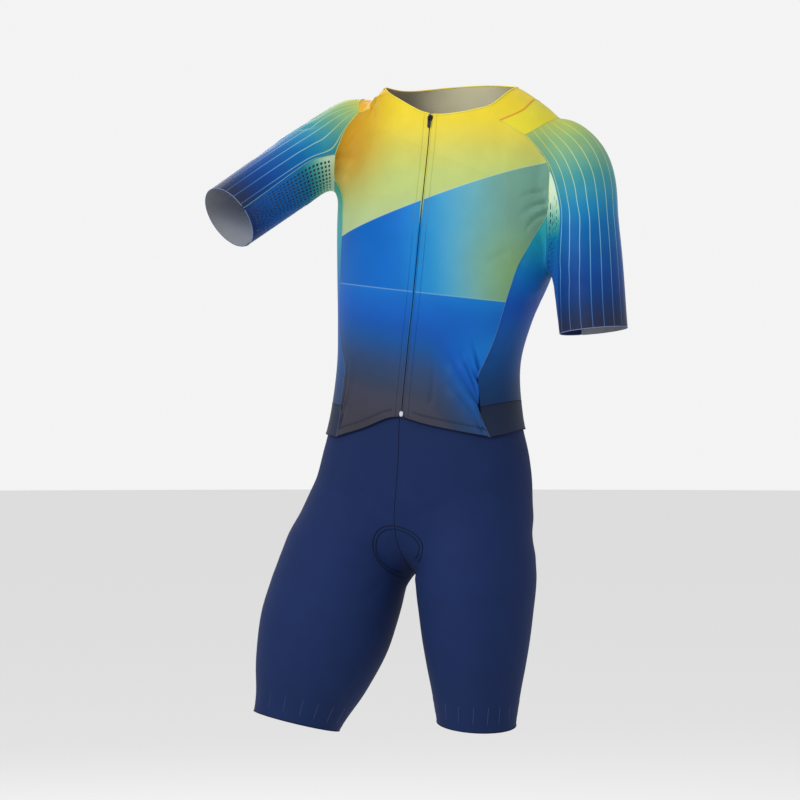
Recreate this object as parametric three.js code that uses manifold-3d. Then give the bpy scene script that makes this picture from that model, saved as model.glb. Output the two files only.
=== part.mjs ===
// Triathlon suit: short raglan sleeves, full front zip, attached shorts, in the pose of the photograph.
// Frame in mm: origin at the neck base on the wearer's middle, +X the wearer's left, -Y the front, +Z up.
// Every cloth piece is a grid between four shared seam curves, laid onto one worn form and given a wall.
import * as THREE from 'three';
import Module from 'manifold-3d';

const GAP = 0.16;          // each piece stands this far back from its seam line, so seams are 0.3 apart
const TOP_FACE = 1.6;      // the jersey's outer face stands this far outside the form
const CLOTH = 1.6;         // wall of every cloth piece
const SHORTS_FACE = -1.8;  // the shorts' outer face lies under the jersey's hem
const ZIP_HALF = 1.8;      // half the gap between the two front edges

// The worn form.
// Torso rows, top to bottom: height, middle in X, front in Y, back in Y, half width, roundness power.
const TORSO = [
  { z: 70, x: 10, front: -50, back: 58, half: 60, power: 2 },
  { z: 40, x: 9, front: -56, back: 62, half: 64, power: 2 },
  { z: 24, x: 8, front: -61, back: 66, half: 76, power: 2 },
  { z: 10, x: 8, front: -66, back: 70, half: 93, power: 2 },
  { z: -10, x: 8, front: -73, back: 76, half: 124, power: 2 },
  { z: -35, x: 8, front: -83, back: 84, half: 156, power: 2.1 },
  { z: -60, x: 9, front: -94, back: 91, half: 170, power: 2.2 },
  { z: -100, x: 9, front: -108, back: 100, half: 174, power: 2.3 },
  { z: -150, x: 5, front: -118, back: 108, half: 173, power: 2.4 },
  { z: -200, x: 0, front: -120, back: 111, half: 170, power: 2.4 },
  { z: -272, x: -8, front: -113, back: 104, half: 164, power: 2.3 },
  { z: -340, x: -23, front: -103, back: 91, half: 150, power: 2.2 },
  { z: -405, x: -33, front: -97, back: 84, half: 142, power: 2.2 },
  { z: -480, x: -37, front: -102, back: 91, half: 149, power: 2.2 },
  { z: -547, x: -42, front: -105, back: 108, half: 165, power: 2.2 },
  { z: -607, x: -51, front: -102, back: 122, half: 174, power: 2.2 },
  { z: -650, x: -53, front: -89, back: 120, half: 163, power: 2.1 },
  { z: -685, x: -50, front: -60, back: 92, half: 110, power: 2 },
  { z: -703, x: -50, front: -28, back: 50, half: 50, power: 2 },
  { z: -712, x: -50, front: -8, back: 14, half: 8, power: 2 },
];

// Limb rows: distance along the limb, half width across, half depth front to back.
const ARM_LEFT = {
  root: [200, 5, -82], along: [31, -8, -275], faces: [0, -1, 0],
  rows: [
    { at: -34, across: 4, deep: 4 }, { at: -28, across: 12, deep: 12 }, { at: -7, across: 29, deep: 32 },
    { at: 20, across: 44, deep: 46 }, { at: 58, across: 52, deep: 52 }, { at: 109, across: 51, deep: 51 },
    { at: 182, across: 51, deep: 51 }, { at: 275, across: 49, deep: 48 }, { at: 420, across: 48, deep: 47 },
  ],
};
const ARM_RIGHT = {
  root: [-156, -20, -52], along: [-0.389, -0.757, -0.525], faces: [0.193, -0.624, 0.756],
  rows: [
    { at: -58, across: 6, deep: 6 }, { at: -50, across: 26, deep: 26 }, { at: -36, across: 37, deep: 37 },
    { at: -18, across: 44, deep: 44 }, { at: 0, across: 47, deep: 47 }, { at: 60, across: 49, deep: 49 },
    { at: 150, across: 49, deep: 49 }, { at: 290, across: 47, deep: 47 }, { at: 420, across: 45, deep: 45 },
  ],
};
const LEG_LEFT = {
  root: [42, 0, -640], along: [0.005, 0, -1], faces: [0, -1, 0],
  rows: [
    { at: -80, across: 8, deep: 8 }, { at: -60, across: 36, deep: 40 }, { at: -20, across: 71, deep: 79 },
    { at: 40, across: 88, deep: 96 }, { at: 87, across: 91, deep: 99 }, { at: 138, across: 86, deep: 93 },
    { at: 177, across: 81, deep: 88 }, { at: 218, across: 74, deep: 81 }, { at: 255, across: 67, deep: 73 },
    { at: 305, across: 60, deep: 64 }, { at: 420, across: 58, deep: 60 },
  ],
};
const LEG_RIGHT = {
  root: [-147, -6, -640], along: [-0.222, -0.235, -0.945], faces: [0, -1, 0],
  rows: [
    { at: -80, across: 8, deep: 8 }, { at: -60, across: 36, deep: 40 }, { at: -20, across: 75, deep: 82 },
    { at: 40, across: 96, deep: 100 }, { at: 87, across: 100, deep: 105 },
    { at: 128, across: 102, deep: 106 }, { at: 182, across: 101, deep: 103 },
    { at: 249, across: 87, deep: 91 }, { at: 313, across: 68, deep: 71 }, { at: 420, across: 62, deep: 64 },
  ],
};

/** Smooth values of a table at a height or distance, by Hermite curves through its rows. */
function smoothRow(rows, key, at) {
  const rising = rows[0][key] < rows[rows.length - 1][key];
  const table = rising ? rows : rows.slice().reverse();
  const last = table.length - 1;
  const place = Math.min(Math.max(at, table[0][key]), table[last][key]);
  let low = 0;
  while (low < last - 1 && table[low + 1][key] <= place) low += 1;
  const span = table[low + 1][key] - table[low][key];
  const u = (place - table[low][key]) / span;
  const result = {};
  for (const name of Object.keys(table[0])) {
    const slopeAt = (index) => {
      const before = table[Math.max(index - 1, 0)];
      const after = table[Math.min(index + 1, last)];
      return (after[name] - before[name]) / (after[key] - before[key]);
    };
    const startSlope = slopeAt(low) * span;
    const endSlope = slopeAt(low + 1) * span;
    const start = table[low][name];
    const end = table[low + 1][name];
    result[name] = (2 * u ** 3 - 3 * u ** 2 + 1) * start + (u ** 3 - 2 * u ** 2 + u) * startSlope
      + (3 * u ** 2 - 2 * u ** 3) * end + (u ** 3 - u ** 2) * endSlope;
  }
  return result;
}

/** Many table rows worked out once, so that the form is quick to measure. */
function makeLookup(rows, key) {
  const ends = [rows[0][key], rows[rows.length - 1][key]];
  const low = Math.min(...ends);
  const high = Math.max(...ends);
  const steps = Math.ceil((high - low) / 2);
  const samples = [];
  for (let i = 0; i <= steps; i += 1) {
    samples.push(smoothRow(rows, key, low + ((high - low) * i) / steps));
  }
  const names = Object.keys(rows[0]);
  return (at) => {
    const place = Math.min(Math.max((at - low) / (high - low), 0), 1) * steps;
    const index = Math.min(Math.floor(place), steps - 1);
    const part = place - index;
    const result = {};
    for (const name of names) {
      result[name] = samples[index][name] * (1 - part) + samples[index + 1][name] * part;
    }
    return result;
  };
}

/** Distance outside one rounded section: negative inside. */
function sectionDistance(dx, dy, halfX, halfY, power) {
  const across = Math.abs(dx) / halfX;
  const deep = Math.abs(dy) / halfY;
  const scale = (across ** power + deep ** power + 1e-9) ** (1 / power);
  return (Math.hypot(dx, dy) + 1e-6) * (1 - 1 / scale);
}

const torsoAt = makeLookup(TORSO, 'z');
function torsoDistance(p) {
  const row = torsoAt(p.z);
  const middle = (row.front + row.back) / 2;
  const beyond = Math.max(p.z - 70, 0) + Math.max(-712 - p.z, 0);
  return sectionDistance(p.x - row.x, p.y - middle, row.half, (row.back - row.front) / 2, row.power) + beyond;
}

/** A limb with its own directions: along it, towards its front and across it. */
function makeLimb({ root, along, faces, rows }) {
  const start = new THREE.Vector3(...root);
  const way = new THREE.Vector3(...along).normalize();
  const front = new THREE.Vector3(...faces);
  front.addScaledVector(way, -front.dot(way)).normalize();
  const side = front.clone().cross(way);
  const rowAt = makeLookup(rows, 'at');
  const low = rows[0].at;
  const high = rows[rows.length - 1].at;
  const distance = (p) => {
    const offset = p.clone().sub(start);
    const at = offset.dot(way);
    const row = rowAt(at);
    const beyond = Math.max(low - at, 0) + Math.max(at - high, 0);
    return sectionDistance(offset.dot(side), offset.dot(front), row.across, row.deep, 2) + beyond;
  };
  // a point on the limb, by distance along it and degrees from its front towards the wearer's left
  const point = (at, degrees) => {
    const row = rowAt(at);
    const turn = THREE.MathUtils.degToRad(degrees);
    return start.clone().addScaledVector(way, at)
      .addScaledVector(front, row.deep * Math.cos(turn))
      .addScaledVector(side, row.across * Math.sin(turn));
  };
  return { distance, point };
}

const armLeft = makeLimb(ARM_LEFT);
const armRight = makeLimb(ARM_RIGHT);
const legLeft = makeLimb(LEG_LEFT);
const legRight = makeLimb(LEG_RIGHT);

/** The lesser of two distances, with a soft corner of the given size. */
function softMin(a, b, size) {
  const mix = Math.min(Math.max(0.5 + (0.5 * (b - a)) / size, 0), 1);
  return b * (1 - mix) + a * mix - size * mix * (1 - mix);
}

function formDistance(p) {
  const legs = softMin(legLeft.distance(p), legRight.distance(p), 10);
  const lower = softMin(torsoDistance(p), legs, 30);
  const shoulderSoft = 30 + 18 * Math.min(Math.max((p.z + 130) / 60, 0), 1);
  const withLeft = softMin(lower, armLeft.distance(p), shoulderSoft);
  return softMin(withLeft, armRight.distance(p), 34);
}

function formSlope(p) {
  const step = 0.5;
  const slope = new THREE.Vector3();
  for (const axis of ['x', 'y', 'z']) {
    const ahead = p.clone();
    const behind = p.clone();
    ahead[axis] += step;
    behind[axis] -= step;
    slope[axis] = (formDistance(ahead) - formDistance(behind)) / (2 * step);
  }
  return slope;
}

const outward = (p) => formSlope(p).normalize();

/** Moves a point onto the form along its slope. */
function layOn(p) {
  const point = p.clone();
  for (let i = 0; i < 14; i += 1) {
    const distance = formDistance(point);
    if (Math.abs(distance) < 0.004) break;
    const slope = formSlope(point);
    const step = distance / Math.max(slope.lengthSq(), 0.05);
    point.addScaledVector(slope, -Math.min(Math.max(step, -20), 20));
  }
  return point;
}

// The largest folds, as soft ridges and troughs: two ends, half breadth and height (a trough is negative).
const FOLDS = [
  { from: [-92, -32, 10], to: [-78, -58, -6], breadth: 20, height: 11 },
  { from: [-100, -40, -6], to: [-112, -62, -52], breadth: 13, height: 4 },
  { from: [-84, -56, -8], to: [-84, -88, -60], breadth: 12, height: 3.4 },
  { from: [-66, -66, -16], to: [-48, -96, -66], breadth: 11, height: 2.6 },
  { from: [58, -78, -412], to: [74, -74, -470], breadth: 9, height: 3.6 },
  { from: [42, -84, -420], to: [84, -70, -500], breadth: 8, height: 2.8 },
  { from: [44, -88, -452], to: [86, -68, -505], breadth: 8, height: 2.4 },
  { from: [-128, -74, -415], to: [-136, -74, -470], breadth: 9, height: 3 },
  { from: [172, -50, -160], to: [160, -66, -186], breadth: 9, height: 2.4 },
  { from: [-165, -128, -70], to: [-196, -120, -106], breadth: 10, height: 2.8 },
  { from: [-176, -152, -86], to: [-208, -142, -120], breadth: 10, height: 2.4 },
  { from: [-70, 92, -430], to: [-20, 92, -452], breadth: 12, height: 3 },
  { from: [-110, 84, -445], to: [-60, 92, -474], breadth: 11, height: 2.4 },
  { from: [-6, 90, -438], to: [40, 82, -462], breadth: 12, height: 2.8 },
  { from: [120, -56, -262], to: [150, -10, -300], breadth: 12, height: 2.4 },
];
const foldLines = FOLDS.map(({ from, to, breadth, height }) => ({
  line: new THREE.Line3(new THREE.Vector3(...from), new THREE.Vector3(...to)), breadth, height,
}));

function foldHeight(p) {
  const nearest = new THREE.Vector3();
  let total = 0;
  for (const { line, breadth, height } of foldLines) {
    line.closestPointToPoint(p, true, nearest);
    total += height * Math.exp(-((nearest.distanceTo(p) / breadth) ** 2));
  }
  return total;
}

// Seam curves.
/** A smooth curve through rough points, laid on the form and cut into equal lengths. */
function seam(points, count) {
  const controls = points.map((p) => (p.isVector3 ? p : new THREE.Vector3(...p)));
  let line = new THREE.CatmullRomCurve3(controls, false, 'centripetal').getSpacedPoints(count * 3).map(layOn);
  for (let round = 0; round < 2; round += 1) {
    line = new THREE.CatmullRomCurve3(line, false, 'centripetal').getSpacedPoints(count).map(layOn);
  }
  return line;
}
const backwards = (line) => line.slice().reverse();
const joined = (first, ...others) => others.reduce((whole, line) => whole.concat(line.slice(1)), first);
const meetAt = (line, first, last) => {
  const copy = line.slice();
  copy[0] = first;
  copy[copy.length - 1] = last;
  return copy;
};

// Points where three or more seams meet, for each side of the wearer.
const MEETINGS = {
  left: {
    hemCorner: [92, -64, -512], bandCorner: [79, -70, -468], armFront: [174, -44, -189],
    meshFront: [180, -50, -120], yokeSleeveFront: [148, -66, -72], yokeNeckFront: [112, -73, -50],
    shoulder: [139, -10, -16], neckSide: [110, -6, 4], yokeNeckBack: [120, 56, -32],
    yokeSleeveBack: [153, 60, -70], meshBack: [173, 53, -124], armBack: [169, 41, -198],
    bandBack: [72, 76, -464],
  },
  right: {
    hemCorner: [-150, -78, -513], bandCorner: [-142, -76, -466], armFront: [-145, -95, -128],
    meshFront: [-144, -101, -92], yokeSleeveFront: [-126, -54, -26], yokeNeckFront: [-103, -58, -20],
    shoulder: [-118, -12, -6], neckSide: [-88, -14, 6], yokeNeckBack: [-108, 50, -16],
    yokeSleeveBack: [-134, 60, -32], meshBack: [-164, 58, -70], armBack: [-174, 46, -100],
    bandBack: [-143, 76, -464],
  },
};

// Rough points between the meetings, on the way that each name reads.
const BETWEEN = {
  left: {
    frontToBand: [[82, -70, -490]],
    frontToSide: [[76, -69, -441], [76, -69, -421], [82, -65, -406], [95, -59, -372], [110, -61, -332],
      [124, -66, -297], [138, -68, -262], [154, -60, -232], [168, -50, -204]],
    sideToBack: [[86, 70, -410], [104, 74, -350], [122, 80, -290], [146, 72, -235]],
    armFrontLow: [[177, -47, -169], [179, -49, -145]],
    armFrontHigh: [[170, -57, -97]],
    frontToYoke: [[131, -71, -61]],
    accentFront: [[125, -62, -43], [137, -48, -34], [140, -30, -23]],
    shoulderSeam: [[124, -8, -6]],
    neckFront: [[21, -84, -39], [43, -82, -38], [64, -78, -35], [80, -73, -31]],
    neckTongue: [[92, -67, -28], [103, -52, -17], [109, -26, -2]],
    underarm: [[172, -40, -208], [170, -35, -227], [168, -30, -244], [165, -19, -263], [163, -2, -273],
      [164, 14, -267], [166, 28, -246], [168, 35, -225]],
    armBackLow: [[171, 46, -176], [172, 50, -152]],
    armBackHigh: [[167, 58, -96]],
    backToYoke: [[138, 60, -50]],
    accentBack: [[138, 14, -17], [133, 37, -21]],
    yokeToSleeve: [[158, -56, -64], [167, -40, -54], [172, -20, -48], [174, 0, -45], [172, 22, -47],
      [164, 44, -57]],
    meshFront: [[188, -49, -140], [193, -48, -162], [197, -48, -190], [194, -46, -223], [192, -44, -256],
      [190, -39, -306]],
    meshBack: [[186, 53, -142], [193, 51, -165], [197, 50, -195], [197, 48, -225], [198, 45, -256],
      [198, 39, -306]],
    ridge: [[200, 2, -47], [226, 3, -66], [246, 3, -100], [256, 3, -140], [264, 4, -220]],
  },
  right: {
    frontToBand: [[-146, -77, -490]],
    frontToSide: [[-140, -73, -440], [-139, -72, -410], [-147, -65, -385], [-153, -60, -358],
      [-151, -64, -310], [-144, -76, -248], [-140, -88, -190]],
    sideToBack: [[-150, 70, -410], [-148, 76, -350], [-150, 82, -290], [-158, 80, -220], [-170, 64, -150]],
    armFrontLow: [[-144, -102, -112]],
    armFrontHigh: [[-138, -74, -43], [-144, -93, -67]],
    frontToYoke: [[-115, -57, -23]],
    accentFront: [[-112, -44, -11]],
    shoulderSeam: [[-103, -13, 1]],
    neckFront: [[-6, -82, -34], [-28, -76, -24], [-48, -67, -14]],
    neckTongue: [[-66, -56, -7], [-80, -42, 1], [-87, -28, 5]],
    underarm: [[-156, -74, -140], [-167, -42, -145], [-175, -8, -138], [-178, 22, -120]],
    armBackLow: [[-170, 54, -84]],
    armBackHigh: [[-150, 61, -50]],
    backToYoke: [[-122, 56, -24]],
    accentBack: [[-118, 20, -7]],
    yokeToSleeve: [[-136, -34, -14], [-142, -8, -9], [-143, 18, -11], [-142, 42, -18]],
    meshFront: [[-161, -135, -101], [-181, -173, -126], [-190, -189, -138]],
    meshBack: [[-173, 10, -104], [-173, -40, -125], [-193, -90, -158]],
    ridge: [[-176, -36, -22], [-206, -88, -52]],
  },
};

// Cuts along each seam; the sides of a grid that face each other have the same total.
const CUTS = {
  frontToBand: 3, frontToSide: 19, sideToBack: 19, armFrontLow: 3, armFrontHigh: 3, frontToYoke: 3,
  accentFront: 4, shoulderSeam: 3, neckMain: 7, underarm: 10, armBackLow: 3, armBackHigh: 3, backToYoke: 3,
  accentBack: 4, yokeToSleeve: 8, meshSeam: 12,
};

/** All the seams of one side of the wearer, every one between its two meeting points. */
function makeSideSeams(which, arm, cuffAt, startTurn, endTurn) {
  const at = {};
  for (const [name, p] of Object.entries(MEETINGS[which])) at[name] = layOn(new THREE.Vector3(...p));
  const run = (name, first, last, cuts = CUTS[name]) => (
    meetAt(seam([first, ...BETWEEN[which][name], last], cuts), first, last)
  );
  const seams = {
    frontToBand: run('frontToBand', at.hemCorner, at.bandCorner),
    frontToSide: run('frontToSide', at.bandCorner, at.armFront),
    sideToBack: run('sideToBack', at.bandBack, at.armBack),
    armFrontLow: run('armFrontLow', at.armFront, at.meshFront),
    armFrontHigh: run('armFrontHigh', at.meshFront, at.yokeSleeveFront),
    frontToYoke: run('frontToYoke', at.yokeSleeveFront, at.yokeNeckFront),
    accentFront: run('accentFront', at.yokeNeckFront, at.shoulder),
    shoulderSeam: run('shoulderSeam', at.shoulder, at.neckSide),
    underarm: run('underarm', at.armFront, at.armBack),
    armBackLow: run('armBackLow', at.armBack, at.meshBack),
    armBackHigh: run('armBackHigh', at.meshBack, at.yokeSleeveBack),
    backToYoke: run('backToYoke', at.yokeSleeveBack, at.yokeNeckBack),
    accentBack: run('accentBack', at.yokeNeckBack, at.shoulder),
    yokeToSleeve: run('yokeToSleeve', at.yokeSleeveFront, at.yokeSleeveBack),
  };
  const arc = (fromTurn, toTurn, count) => {
    const line = [];
    for (let i = 0; i <= count; i += 1) {
      line.push(layOn(arm.point(cuffAt, fromTurn + ((toTurn - fromTurn) * i) / count)));
    }
    return line;
  };
  const outerCuts = CUTS.armFrontHigh + CUTS.yokeToSleeve + CUTS.armBackHigh;
  const innerCuts = CUTS.armFrontLow + CUTS.underarm + CUTS.armBackLow;
  seams.cuffOuter = arc(startTurn, endTurn, outerCuts);
  seams.cuffInner = arc(startTurn, endTurn - 360 * Math.sign(endTurn), innerCuts);
  seams.cuffInner = meetAt(seams.cuffInner, seams.cuffOuter[0], seams.cuffOuter[outerCuts]);
  // the line down the outside of the sleeve, from the top of the yoke to the cuff, guides its grid only
  const ridgeTop = seams.yokeToSleeve[CUTS.yokeToSleeve / 2];
  seams.meshFront = run('meshFront', at.meshFront, seams.cuffOuter[0], CUTS.meshSeam);
  seams.meshBack = run('meshBack', at.meshBack, seams.cuffOuter[outerCuts], CUTS.meshSeam);
  seams.ridge = run('ridge', ridgeTop, seams.cuffOuter[outerCuts / 2], CUTS.meshSeam);
  return { at, seams };
}

const left = makeSideSeams('left', armLeft, 276, -58, 222);
const right = makeSideSeams('right', armRight, 262, 48, -212);

// The zip line, hem to neck, and the two front hems that rise to its foot.
const zipTop = layOn(new THREE.Vector3(7, -84, -37));
const zipFoot = layOn(new THREE.Vector3(-32, -102, -483));
const ZIP_LINE = [[-30, -99, -443], [-24, -99, -384], [-11, -108, -311], [1, -118, -238], [10, -119, -166],
  [12, -105, -91]];
const FRONT_CUTS = CUTS.frontToBand + CUTS.frontToSide + CUTS.armFrontLow + CUTS.armFrontHigh;
const HEM_CUTS = CUTS.neckMain + CUTS.shoulderSeam + CUTS.frontToYoke;
const zipLine = meetAt(seam([zipFoot, ...ZIP_LINE, zipTop], FRONT_CUTS), zipFoot, zipTop);
const hemLeft = meetAt(seam([zipFoot, [-24, -102, -485], [4, -100, -493], [50, -88, -503], left.at.hemCorner],
  HEM_CUTS), zipFoot, left.at.hemCorner);
const hemRight = meetAt(seam([zipFoot, [-48, -102, -483], [-60, -101, -486], [-95, -97, -499],
  right.at.hemCorner], HEM_CUTS), zipFoot, right.at.hemCorner);
/** A front neckline: the long part below the tongue, then the tongue's own part up to the shoulder. */
function neckline(side, which) {
  const { neckFront, neckTongue } = BETWEEN[which];
  const foot = layOn(new THREE.Vector3(...neckTongue[0]));
  const main = meetAt(seam([zipTop, ...neckFront, foot], CUTS.neckMain), zipTop, foot);
  const rest = neckTongue.slice(1);
  const upper = meetAt(seam([foot, ...rest, side.at.neckSide], CUTS.accentFront), foot, side.at.neckSide);
  return joined(main, upper);
}
const neckLeft = neckline(left, 'left');
const neckRight = neckline(right, 'right');
const BACK_CUTS = 14;
const neckBack = meetAt(seam([left.at.neckSide, [97, 26, 8], [72, 50, 14], [40, 64, 18], [8, 69, 19],
  [-24, 64, 18], [-54, 50, 14], [-80, 24, 9], right.at.neckSide], BACK_CUTS - 2 * CUTS.shoulderSeam),
left.at.neckSide, right.at.neckSide);
const bandTopBack = meetAt(seam([left.at.bandBack, [30, 88, -462], [-36, 92, -461], [-100, 88, -462],
  right.at.bandBack], BACK_CUTS), left.at.bandBack, right.at.bandBack);
const SIDE_CUTS = CUTS.underarm;
const bandTopLeft = meetAt(seam([left.at.bandCorner, [98, -48, -463], [112, 0, -458], [100, 50, -461],
  left.at.bandBack], SIDE_CUTS), left.at.bandCorner, left.at.bandBack);
const bandTopRight = meetAt(seam([right.at.bandCorner, [-172, -48, -463], [-184, 0, -460], [-172, 50, -462],
  right.at.bandBack], SIDE_CUTS), right.at.bandCorner, right.at.bandBack);
const bandFoot = meetAt(seam([left.at.hemCorner, [108, -45, -508], [117, 10, -500], [100, 60, -500],
  [60, 84, -502], [-36, 96, -504], [-130, 84, -504], [-176, 58, -503], [-190, 0, -506], [-176, -50, -510],
  right.at.hemCorner], BACK_CUTS + 2 * SIDE_CUTS), left.at.hemCorner, right.at.hemCorner);

// Cloth pieces.
/** A grid between four curves: bottom and top run the same way, as do start and end. */
function fillGrid(bottom, top, start, end, rounds = 8) {
  const across = bottom.length - 1;
  const up = start.length - 1;
  if (top.length !== bottom.length || end.length !== start.length) throw new Error('sides differ in cuts');
  const grid = [];
  for (let j = 0; j <= up; j += 1) {
    const v = j / up;
    const row = [];
    for (let i = 0; i <= across; i += 1) {
      const u = i / across;
      const p = new THREE.Vector3()
        .addScaledVector(start[j], 1 - u).addScaledVector(end[j], u)
        .addScaledVector(bottom[i], 1 - v).addScaledVector(top[i], v)
        .addScaledVector(bottom[0], -(1 - u) * (1 - v)).addScaledVector(bottom[across], -u * (1 - v))
        .addScaledVector(top[0], -(1 - u) * v).addScaledVector(top[across], -u * v);
      row.push(p);
    }
    grid.push(row);
  }
  for (let i = 0; i <= across; i += 1) {
    grid[0][i] = bottom[i].clone();
    grid[up][i] = top[i].clone();
  }
  for (let j = 0; j <= up; j += 1) {
    grid[j][0] = start[j].clone();
    grid[j][across] = end[j].clone();
  }
  return relax(grid, rounds);
}

/** Evens out the inner points of a grid and lays them on the form. */
function relax(grid, rounds) {
  let current = grid;
  for (let round = 0; round < rounds; round += 1) {
    current = current.map((row, j) => row.map((p, i) => {
      if (j === 0 || i === 0 || j === current.length - 1 || i === row.length - 1) return p;
      if (round === 0) return layOn(p);
      const around = new THREE.Vector3()
        .add(current[j - 1][i]).add(current[j + 1][i]).add(row[i - 1]).add(row[i + 1]).multiplyScalar(0.25);
      return layOn(p.clone().lerp(around, 0.5));
    }));
  }
  return untangle(current);
}

/** The smallest corner of the cells round a grid point; it is negative where a cell turns over. */
function smallestCorner(grid, j, i, at, facing) {
  const pick = (rowAt, columnAt) => (rowAt === j && columnAt === i ? at : grid[rowAt][columnAt]);
  let smallest = Infinity;
  for (const [dj, di] of [[-1, -1], [-1, 0], [0, -1], [0, 0]]) {
    const row = j + dj;
    const column = i + di;
    const cell = [pick(row, column), pick(row, column + 1), pick(row + 1, column + 1), pick(row + 1, column)];
    for (let k = 0; k < 4; k += 1) {
      const ahead = cell[(k + 1) % 4].clone().sub(cell[k]);
      const behind = cell[(k + 3) % 4].clone().sub(cell[k]);
      smallest = Math.min(smallest, ahead.cross(behind).dot(facing));
    }
  }
  return smallest;
}

const SOUND_CORNER = 12;   // square millimetres: a cell corner above this is left alone

/** Moves inner points whose cells turn over to the place between their neighbours that suits them best. */
function untangle(grid) {
  const middle = grid[Math.floor(grid.length / 2)];
  const centre = Math.floor(middle.length / 2);
  const below = grid[Math.floor(grid.length / 2) - 1][centre];
  const turn = middle[centre + 1].clone().sub(middle[centre]).cross(middle[centre].clone().sub(below));
  const sign = Math.sign(turn.dot(outward(middle[centre])));
  const current = grid.map((row) => row.slice());
  for (let round = 0; round < 6; round += 1) {
    for (let j = 1; j + 1 < current.length; j += 1) {
      for (let i = 1; i + 1 < current[0].length; i += 1) {
        const here = current[j][i];
        const facing = outward(here).multiplyScalar(sign);
        let best = smallestCorner(current, j, i, here, facing);
        if (best > SOUND_CORNER) continue;
        const around = [[0, -1, 0, 1], [-1, 0, 1, 0], [-1, -1, 1, 1], [-1, 1, 1, -1]];
        for (const [dj, di, ej, ei] of around) {
          const place = layOn(current[j + dj][i + di].clone().lerp(current[j + ej][i + ei], 0.5));
          const value = smallestCorner(current, j, i, place, facing);
          if (value > best) {
            best = value;
            current[j][i] = place;
          }
        }
      }
    }
  }
  return current;
}

const keyOf = (p) => `${Math.round(p.x * 500)},${Math.round(p.y * 500)},${Math.round(p.z * 500)}`;

/** Merges grids that share lines into one net of points and outward triangles. */
function netOf(grids) {
  const points = [];
  const indexAt = new Map();
  const triangles = [];
  const indexOf = (p) => {
    const key = keyOf(p);
    if (!indexAt.has(key)) {
      indexAt.set(key, points.length);
      points.push(p.clone());
    }
    return indexAt.get(key);
  };
  for (const grid of grids) {
    const midUp = Math.floor(grid.length / 2) - 1;
    const midAcross = Math.floor(grid[0].length / 2) - 1;
    const corner = grid[midUp][midAcross];
    const toRight = grid[midUp][midAcross + 1].clone().sub(corner);
    const upwards = grid[midUp + 1][midAcross].clone().sub(corner);
    const flip = toRight.cross(upwards).dot(outward(corner)) < 0;
    const addTriangle = (a, b, c) => triangles.push(flip ? [a, c, b] : [a, b, c]);
    for (let j = 0; j + 1 < grid.length; j += 1) {
      for (let i = 0; i + 1 < grid[0].length; i += 1) {
        const [a, b, c, d] = [grid[j][i], grid[j][i + 1], grid[j + 1][i + 1], grid[j + 1][i]].map(indexOf);
        const up = outward(points[a]).add(outward(points[c])).multiplyScalar(flip ? -1 : 1);
        const edge = (from, to) => points[to].clone().sub(points[from]);
        const size = (k, l, m) => edge(k, l).cross(edge(k, m)).dot(up);
        // the cut that leaves the larger of the two smallest triangles, so no facet turns over
        if (Math.min(size(a, b, c), size(a, c, d)) >= Math.min(size(a, b, d), size(b, c, d))) {
          addTriangle(a, b, c);
          addTriangle(a, c, d);
        } else {
          addTriangle(a, b, d);
          addTriangle(b, c, d);
        }
      }
    }
  }
  const directed = new Set(triangles.flatMap(([a, b, c]) => [`${a},${b}`, `${b},${c}`, `${c},${a}`]));
  const edges = [...directed].map((edge) => edge.split(',').map(Number));
  const rim = edges.filter(([a, b]) => !directed.has(`${b},${a}`));
  return { points, triangles, rim };
}

/** Moves the rim of a net inwards along the cloth; a rim line with its own gap is named in rims. */
function standBack({ points, rim }, normals, rims) {
  const lineKeys = rims.map(({ line, gap }) => ({ keys: new Set(line.map(keyOf)), gap }));
  const gapOf = (a, b) => {
    const own = lineKeys.find(({ keys }) => keys.has(keyOf(points[a])) && keys.has(keyOf(points[b])));
    return own ? own.gap : GAP;
  };
  const inwardOf = (a, b, at) => normals[at].clone().cross(points[b].clone().sub(points[a])).normalize();
  const comingInto = new Map(rim.map(([a, b]) => [b, a]));
  const moved = points.map((p) => p.clone());
  for (const [here, next] of rim) {
    const before = comingInto.get(here);
    const firstGap = gapOf(before, here);
    const secondGap = gapOf(here, next);
    const first = inwardOf(before, here, here);
    const second = inwardOf(here, next, here);
    const cosine = Math.min(first.dot(second), 0.999);
    const room = Math.max(1 - cosine * cosine, 0.05);
    const shift = new THREE.Vector3();
    if (cosine > 0.97) {
      shift.addScaledVector(first.add(second).normalize(), (firstGap + secondGap) / 2);
    } else {
      shift.addScaledVector(first, (firstGap - cosine * secondGap) / room);
      shift.addScaledVector(second, (secondGap - cosine * firstGap) / room);
      shift.clampLength(0, 6 * Math.max(firstGap, secondGap));
    }
    moved[here].add(shift);
  }
  return moved;
}

/** One closed cloth piece from grids on the form: an outer face, an inner face and the rim walls. */
function clothPiece(name, grids, colour, { face = TOP_FACE, wall = CLOTH, rims = [], folded = true } = {}) {
  const net = netOf(grids);
  const normals = net.points.map(outward);
  const placed = standBack(net, normals, rims);
  const lifts = net.points.map((p) => face + (folded ? foldHeight(p) : 0));
  const outer = placed.map((p, k) => p.clone().addScaledVector(normals[k], lifts[k]));
  const inner = placed.map((p, k) => p.clone().addScaledVector(normals[k], lifts[k] - wall));
  const count = outer.length;
  const faces = [];
  for (const [a, b, c] of net.triangles) faces.push([a, b, c], [count + a, count + c, count + b]);
  // both pieces at a seam cut their rim walls along the same diagonal, so the walls stay parallel
  const rank = (k) => net.points[k].z + 0.01 * net.points[k].x;
  for (const [a, b] of net.rim) {
    if (rank(a) > rank(b)) faces.push([b, a, count + a], [b, count + a, count + b]);
    else faces.push([b, a, count + b], [a, count + a, count + b]);
  }
  return meshFrom(name, outer.concat(inner), faces, colour);
}

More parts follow.
